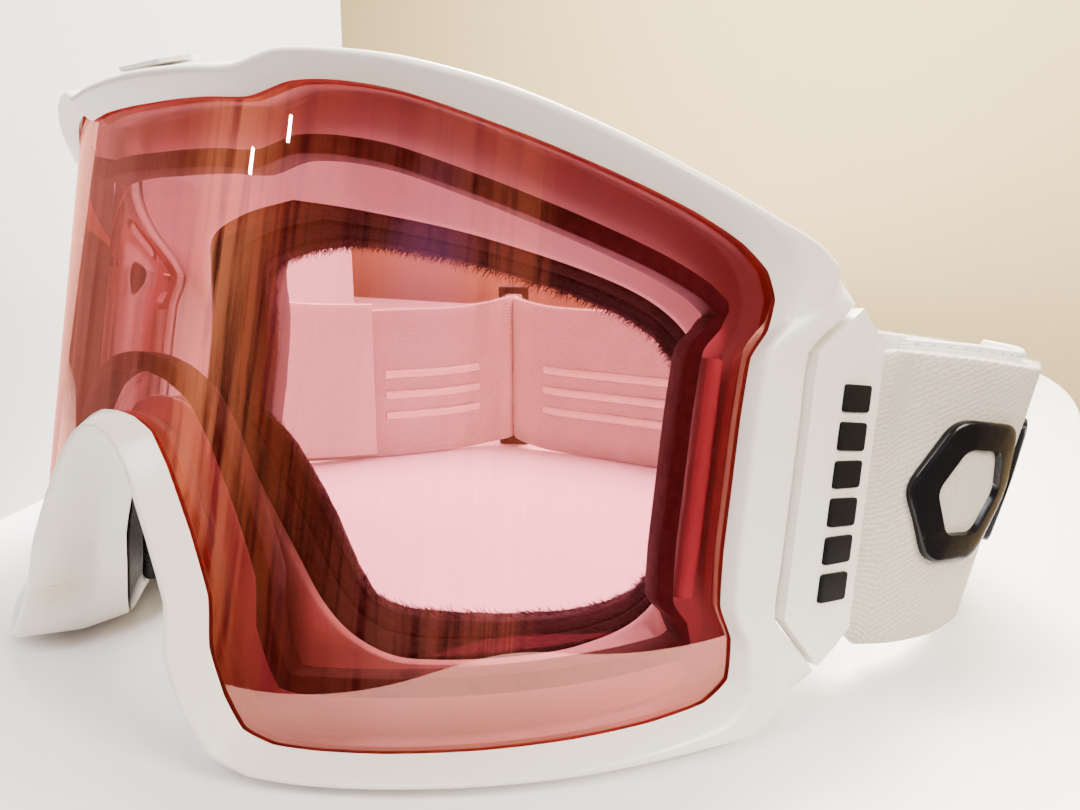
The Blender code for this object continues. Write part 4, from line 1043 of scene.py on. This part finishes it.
def loop_sections(sign):
    """The strap from its inner end round the outrigger's bar to the front of its route."""
    centre = round_lens(BAR_ANGLE, 0.0, BAR_INSET)
    reach = BAR_RADIUS + 0.3 + LOOP_THICK / 2
    turns = 16
    angles = [pi - i * pi / turns for i in range(turns + 1)]
    turn = [centre + (BAR_OUT * cos(a) + BAR_FORWARD * sin(a)) * reach for a in angles]
    middle = [*INNER_END, *turn, LOOP_EXIT]
    to_layout = STRAP.inverted() @ GOGGLES
    sections = []
    travelled = 0.0
    for i, point in enumerate(middle):
        if i:
            travelled += (point - middle[i - 1]).length
        along = (middle[min(i + 1, len(middle) - 1)] - middle[max(i - 1, 0)]).normalized()
        normal = Vector((along.y, -along.x, 0.0))
        low, high = (Vector((point.x * sign, point.y, z)) for z in (LOOP_LOW, LOOP_HIGH))
        turned = to_layout.to_3x3() @ Vector((normal.x * sign, normal.y, 0.0))
        sections.append([travelled, to_layout @ (low * MM) / MM, to_layout @ (high * MM) / MM, turned])
    return [[d - travelled - 3.0, low, high, normal] for d, low, high, normal in sections]


def route_sections(route, first, last, low, high, offset, step=RIBBON_STEP):
    """Sections of a strip on the strap, between two distances and two heights across its width."""
    count = max(2, round((last - first) / step))
    sections = []
    for i in range(count + 1):
        distance = first + (last - first) * i / count
        base, width, normal = route.at(distance)
        base = base + normal * offset
        sections.append([distance, base + width * low, base + width * high, normal])
    return sections


def bend(piece, sign):
    """Bakes the piece's placement into its mesh; points near the outrigger and further along the route are
    found but not used, so the fabric is not bent.
    """
    lift = Vector((0.0, 0.0, 27.0))
    near, far = (STRAP @ ((ROUTES[sign].at(d)[0] + lift) * MM) for d in (0.0, BEND_LENGTH))
    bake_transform(piece)
    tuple(near)
    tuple(far)


FIBRE_SPREAD, FIBRE_SAG = 0.45, 0.12


def fibres(name, roots, length, thick, surface, body, place=GOGGLES, seed=5):
    """Short loose hairs: thin blades from roots of (point, direction)."""
    dice = random.Random(seed)
    points, faces = [], []
    for root, direction in roots:
        wild = Vector([dice.gauss(0.0, FIBRE_SPREAD) for _ in range(3)])
        way = (direction.normalized() + wild).normalized()
        side = way.cross(Vector([dice.gauss(0.0, 1.0) for _ in range(3)])).normalized() * thick / 2
        reach = dice.uniform(*length)
        sag = Vector((dice.gauss(0.0, 0.15), dice.gauss(0.0, 0.15), -FIBRE_SAG)) * reach
        start = len(points)
        points += [root - side, root + side, root + way * reach * 0.6 + side * 0.6,
                   root + way * reach * 0.6 - side * 0.6, root + way * reach + sag]
        faces += [(start, start + 1, start + 2, start + 3), (start + 3, start + 2, start + 4)]
        if place is STRAP:
            for point in points[start:]:
                point.z = max(point.z, 0.05)
    return add_mesh(name, points, faces, surface, body, place)


def edge_roots(sections, count, seed):
    """Roots of hairs along both edges of a strip and thinly over its outer face."""
    dice = random.Random(seed)
    roots = []
    for _ in range(count):
        i = dice.randrange(len(sections) - 1)
        t = dice.random()
        (_, low, high, normal), (_, low2, high2, _) = sections[i], sections[i + 1]
        low, high = low.lerp(low2, t), high.lerp(high2, t)
        width = (high - low).normalized()
        pick = dice.random()
        if pick < 0.5:
            roots.append((high + normal * dice.uniform(-0.9, 0.9), width))
        elif pick < 0.8:
            root = low + normal * dice.uniform(-0.9, 0.9) + width * 0.2
            roots.append((root, -width * 0.4 + normal * 0.6))
        else:
            roots.append((low.lerp(high, dice.random()) + normal * (STRAP_THICK / 2 - 0.05), normal))
    return roots


def travelled_along(sections):
    """Length of a strip along its lower edge."""
    return sum((a[1] - b[1]).length for a, b in zip(sections, sections[1:]))


def build_strap(sign):
    """One half of the strap, from its inner end round the outrigger's bar to its free end."""
    side = SIDES[sign]
    route = ROUTES[sign]
    looped = loop_sections(sign)
    sections = looped + route_sections(route, 0.4, route.length, 0.0, STRAP_WIDTH, 0.0)
    strap = strip(f"strap_band_{side}", sections, STRAP_THICK, TWILL, None, 0.35)
    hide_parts(f"strap_{side}", f"strap_end_{side}")
    bend(strap, sign)
    roots = edge_roots(sections[len(looped) + 1:], 2600, 11)
    loose = fibres(f"strap_fuzz_{side}", roots, (0.4, 1.1), 0.07, LINT, None, STRAP, 12)
    bend(loose, sign)
    flat = (STRAP_WIDTH * MM, travelled_along(sections) * MM)
    build_inner_layer(sign)
    build_beads(sign)
    build_badges(sign)


STITCH = ((-0.85, 0.08), (-0.6, 0.2), (0.6, 0.2), (0.85, 0.08))    # place and radius of rows


def build_inner_layer(sign):
    """Smooth layer returned inside the strap, which stands above it, with its line of stitches."""
    side = SIDES[sign]
    route = ROUTES[sign]
    low, high = 1.7, STRAP_WIDTH + 2.2
    sections = route_sections(route, 3.0, 58.0, low, high, -3.1)
    layer = strip(f"strap_lining_{side}", sections, 1.6, LINING, None, 0.2)
    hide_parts(f"strap_inner_layer_{side}")
    bend(layer, sign)
    points, faces = [], []
    distance, last, pitch = 4.0, 56.5, 2.6
    while distance < last:
        base, width, normal = route.at(distance)
        ahead = (route.at(distance + 1.0)[0] - base).normalized()
        centre = base + ahead * 0.8 + width * (STRAP_WIDTH + 1.3) - normal * 2.25
        start = len(points)
        for end, size in STITCH:
            for a in range(6):
                across = width * cos(a * pi / 3) + normal * sin(a * pi / 3) * 0.8
                points.append(centre + ahead * end + across * size)
        faces += tube_faces(6, len(STITCH), start) + caps(6, len(STITCH), start)
        distance += pitch
    stitches = add_mesh(f"lining_stitches_{side}", points, faces, THREAD, None, STRAP)
    bend(stitches, sign)
    flat = ((high - low) * MM, travelled_along(sections) * MM)


def build_beads(sign):
    """Silicone stripes printed inside the strap."""
    side = SIDES[sign]
    inset = -STRAP_THICK / 2 - 0.35
    for label, height in BEAD_HEIGHTS.items():
        sections = route_sections(ROUTES[sign], *BEAD_STRETCH[sign], height, height + BEAD_WIDTH, inset)
        rings = []
        for _, low, high, normal in sections:
            middle, across = (low + high) / 2, (high - low) / 2
            rings.append([middle + across * cos(a) + normal * 0.45 * sin(a)
                          for a in (k * pi / 6 for k in range(12))])
        bead = loft(f"silicone_stripe_{label}_{side}", rings, SILICONE, "frame", STRAP, angle=80.0)
        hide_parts(f"grip_bead_{label}_{side}")


PAD_LENGTH, PAD_HEIGHT, PAD_MIDDLE = 25.0, 25.0, STRAP_WIDTH * 0.54
PAD_STARTS = {"front": 4.0, "rear": 32.0}
PAD_CORNERS = ((0.5, 0.0), (0.26, 0.5), (-0.26, 0.5), (-0.5, 0.0), (-0.26, -0.5), (0.26, -0.5))
# size and rise of each row of points, from the outside in
PAD_RIM = ((1.0, -0.4), (1.0, 0.5), (0.985, 0.75), (0.955, 0.88), (0.9, 0.92), (0.64, 0.92),
           (0.61, 0.85), (0.6, 0.6), (0.59, -0.3))
PAD_CENTRE = ((0.6, -0.2), (0.4, -0.15), (0.2, -0.15), (0.02, -0.15))


def pad_mesh(name, route, start, rows, surface, filled):
    """Rows of a six-sided outline laid on the strap, the innermost one filled or left open."""
    corners = [Vector((u * PAD_LENGTH, v * PAD_HEIGHT, 0)) for u, v in PAD_CORNERS]
    outline = filleted(corners, (3.0,) * 6, 6)
    points = []
    for grow, rise in rows:
        for corner in outline:
            base, width, normal = route.at(start + PAD_LENGTH / 2 + corner.x * grow)
            up = normal * (STRAP_THICK / 2 + 0.4 + rise)
            points.append(base + width * (PAD_MIDDLE + corner.y * grow) + up)
    size = len(outline)
    faces = tube_faces(size, len(rows))
    if filled:
        faces.append(tuple(range(len(points) - size, len(points))))
    return add_mesh(name, points, faces, surface, None, STRAP)


def build_badges(sign):
    """Six-sided pads on the strap: a black rim round a cloth centre."""
    side, route = SIDES[sign], ROUTES[sign]
    for label, start in PAD_STARTS.items():
        rim = pad_mesh(f"strap_pad_{label}_rim_{side}", route, start, PAD_RIM, GLOSS, False)
        bend(rim, sign)
        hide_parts(f"strap_badge_{label}_{side}")
        cloth = pad_mesh(f"strap_pad_{label}_centre_{side}", route, start, PAD_CENTRE, TWILL, True)
        bend(cloth, sign)
        layer = cloth.data.uv_layers.new(name="UVMap")
        for loop in cloth.data.loops:
            at = cloth.data.vertices[loop.vertex_index].co
            layer.data[loop.index].uv = (at.x + at.y, at.z)


def build_port_fuzz():
    """Loose fibres round the opening of the face foam."""
    dice = random.Random(3)
    roots = []
    for _ in range(8000):
        station = dice.uniform(0.0, STATIONS)
        _, front, rear, outer = foam_corners(station, 0.82, 1.0)
        way = (rear - outer).normalized()
        root = rear.lerp(front, dice.random()) - way * 0.2
        if dice.random() < 0.5:
            root, way = (Vector((-p.x, p.y, p.z)) for p in (root, way))
        roots.append((root, way))
    fuzz = fibres("port_fibres", roots, (0.9, 2.4), 0.16, FLEECE, "frame", seed=8)


# ---- camera, light and floor -------------------------------------------------------------------
def look(position, back, up=Vector((0, 0, 1))):
    """Matrix of a camera or light at a position whose local z points along back."""
    z = back.normalized()
    x = up.cross(z).normalized()
    y = z.cross(x)
    return Matrix.Translation(position) @ Matrix((x, y, z)).transposed().to_4x4()


CAMERA_BACK = Vector((0.5647, -0.8002, 0.2021))
CAMERA_OFFSET = Vector((122.5, -61.6, 28.1))
CAMERA_LENS = 27.03


def add_camera():
    data = bpy.data.cameras.new("camera")
    data.lens = CAMERA_LENS
    data.sensor_width = 36.0
    data.clip_start = 0.005
    camera = linked("camera", data)
    camera.matrix_world = look(GOGGLES.translation + CAMERA_OFFSET * MM, CAMERA_BACK)
    bpy.context.scene.camera = camera


# name, place, target, size (metres), watts, colour
LIGHTS = (
    ("ceiling", (-0.1, 0.4, 0.9), (0, 0.05, 0), (0.6, 0.6), 62.0, (1.0, 0.97, 0.93)),
    ("downlight", (-0.03, 0.14, 0.6), (-0.02, 0.05, 0), (0.12, 0.12), 6.0, (1.0, 0.96, 0.93)),
    ("window", (0.7, -0.05, 0.45), (0, 0, 0.03), (0.3, 0.3), 11.0, (1.0, 0.9, 0.74)),
    ("front", (0.2, -0.6, 0.8), (0, 0, 0.03), (0.25, 0.25), 6.0, (0.95, 0.93, 1.0)),
    ("lamp_left", (-0.21, -0.49, 0.27), (0, -0.1, 0.06), (0.006, 0.018), 0.3, (1.0, 1.0, 1.0)),
    ("lamp_right", (-0.13, -0.51, 0.3), (0, -0.1, 0.06), (0.006, 0.018), 0.3, (1.0, 1.0, 1.0)))


def add_light(name, position, target, size, power, colour):
    data = bpy.data.lights.new(name, "AREA")
    data.shape = "RECTANGLE"
    data.size, data.size_y = size
    data.energy = power
    data.color = colour
    lamp = linked(name, data)
    lamp.matrix_world = look(Vector(position), Vector(position) - Vector(target))


def one_sided(surface):
    """The back of a wall is clear, so that it hides nothing from other directions."""
    tree = surface.node_tree
    clear = tree.nodes.new("ShaderNodeBsdfTransparent")
    side = tree.nodes.new("ShaderNodeNewGeometry")
    both = tree.nodes.new("ShaderNodeMixShader")
    tree.links.new(side.outputs["Backfacing"], both.inputs["Fac"])
    tree.links.new(tree.nodes["Principled BSDF"].outputs["BSDF"], both.inputs[1])
    tree.links.new(clear.outputs["BSDF"], both.inputs[2])
    tree.links.new(both.outputs["Shader"], tree.nodes["Material Output"].inputs["Surface"])


def add_wall(name, start, end, low, high, colour, inward):
    """Upright one-sided wall between two places on the plan, facing inward."""
    surface = skin(name + "_paint", colour, 0.8)
    n = Nodes(surface)
    n.colour(n.mottle(300.0, colour, tuple(c * 0.96 for c in colour)))
    n.bump(n.noise(2.0, 4.0), 0.05)
    one_sided(surface)
    corners = [Vector((*start, low)), Vector((*end, low)), Vector((*end, high)), Vector((*start, high))]
    mesh = bpy.data.meshes.new(name)
    facing = (corners[1] - corners[0]).cross(corners[3] - corners[0]).dot(Vector((*inward, 0.0)))
    order = (0, 1, 2, 3) if facing > 0 else (3, 2, 1, 0)
    mesh.from_pydata([c * MM for c in corners], [], [order])
    wall = linked(name, mesh)
    mesh.materials.append(surface)


def add_table():
    """White table top with rounded corners and a soft gloss."""
    top = skin("table_white", (0.92, 0.92, 0.92), 0.2)
    n = Nodes(top)
    n.roughness(n.mapped(n.noise(60.0, 3.0), 0.3, 0.7, 0.14, 0.26))
    corners = [Vector((*corner, 0)) for corner in ((-900, -150), (128, -150), (96, 560), (-900, 560))]
    outline = filleted(corners, (60.0, 46.0, 320.0, 60.0), 24)
    middle = Vector((-390.0, 200.0, 0.0))
    rings = [[p + (p - middle).normalized() * out + Vector((0.0, 0.0, drop)) for p in outline]
             for out, drop in ((0.0, -14.0), (0.0, -3.0), (-0.8, -0.8), (-3.0, 0.0))]
    loft("table", rings, top, None, Matrix.Identity(4))


# share of the half turn in front of the goggles, and the room's colour there
ROOM_PANELS = (
    (0.0, (1.0, 0.72, 0.66)), (0.17, (0.95, 0.62, 0.55)), (0.24, (0.6, 0.36, 0.2)), (0.3, (2.4, 1.6, 0.8)),
    (0.4, (0.6, 0.3, 0.14)), (0.5, (0.25, 0.1, 0.06)), (0.62, (0.5, 0.3, 0.22)),
    (0.76, (0.75, 0.4, 0.22)), (0.79, (0.1, 0.03, 0.03)), (1.0, (0.06, 0.02, 0.02)))


def add_room():
    """World seen in the lens: warm upright streaks of a dim room under a pale ceiling."""
    world = bpy.data.worlds.new("room")
    world.use_nodes = True
    n = Nodes(world)
    parts = n.add("SeparateXYZ")
    n.link(n.place, parts.inputs["Vector"])
    x, y, z = (parts.outputs[k] for k in "XYZ")
    azimuth = n.math("ARCTAN2", x, n.math("MULTIPLY", y, -1.0))
    flat = n.add("CombineXYZ")
    n.link(azimuth, flat.inputs["X"])
    n.link(n.math("MULTIPLY", z, 0.12), flat.inputs["Y"])
    broad = n.noise(90.0, 3.0, 0.6, vector=flat.outputs["Vector"])
    fine = n.noise(22.0, 4.0, 0.7, vector=flat.outputs["Vector"])
    streak = n.math("ADD", n.math("MULTIPLY", broad, 0.7), n.math("MULTIPLY", fine, 0.3))
    turn = n.mapped(azimuth, -pi / 2, pi / 2)
    panels = n.ramp(turn, ROOM_PANELS)
    depth = n.mapped(turn, 0.15, 0.3, 0.35, 1.0)
    shadow = n.math("MULTIPLY", n.mapped(streak, 0.54, 0.42), depth)
    wood = n.mix(shadow, panels, (0.08, 0.025, 0.015))
    figure = n.near((0.33, -0.92, 0.2), 0.1, 0.14)
    wood = n.mix(n.math("MULTIPLY", figure, 0.8), wood, (0.5, 0.35, 1.1))
    room = n.mix(n.mapped(z, 0.48, 0.75), wood, (0.42, 0.4, 0.44))
    room = n.mix(n.mapped(z, -0.15, -0.35), room, (0.12, 0.05, 0.05))
    seen = n.add("LightPath").outputs["Is Camera Ray"]
    room = n.mix(seen, room, (0.75, 0.72, 0.66))
    back = n.tree.nodes["Background"]
    n.link(room, back.inputs["Color"])
    back.inputs["Strength"].default_value = 1.0
    bpy.context.scene.world = world


def add_stage():
    """Table, two walls, room and lights."""
    add_table()
    add_wall("left_wall", (-112, -77), (-322, 242), -200, 900, (0.62, 0.63, 0.64), (1, 0))
    add_wall("back_wall", (-900, 640), (1500, 640), -700, 1500, (0.64, 0.48, 0.23), (0, -1))
    add_room()
    for row in LIGHTS:
        add_light(*row)


add_camera()
add_stage()
build_frame()
lens_panel("outer_lens_panel", "outer_lens", ROSE, 1.8, -0.1, 1.6, 1.2)
lens_panel("inner_lens_panel", "inner_lens", CLEAR, -5.8, -6.6, 0.8, 3.0)
build_gasket()
build_flange()
build_foam()
build_port_fuzz()
build_vents()
build_kept_pieces()
for which, side_name in SIDES.items():
    build_grip_bars(which, side_name)
    build_strap(which)
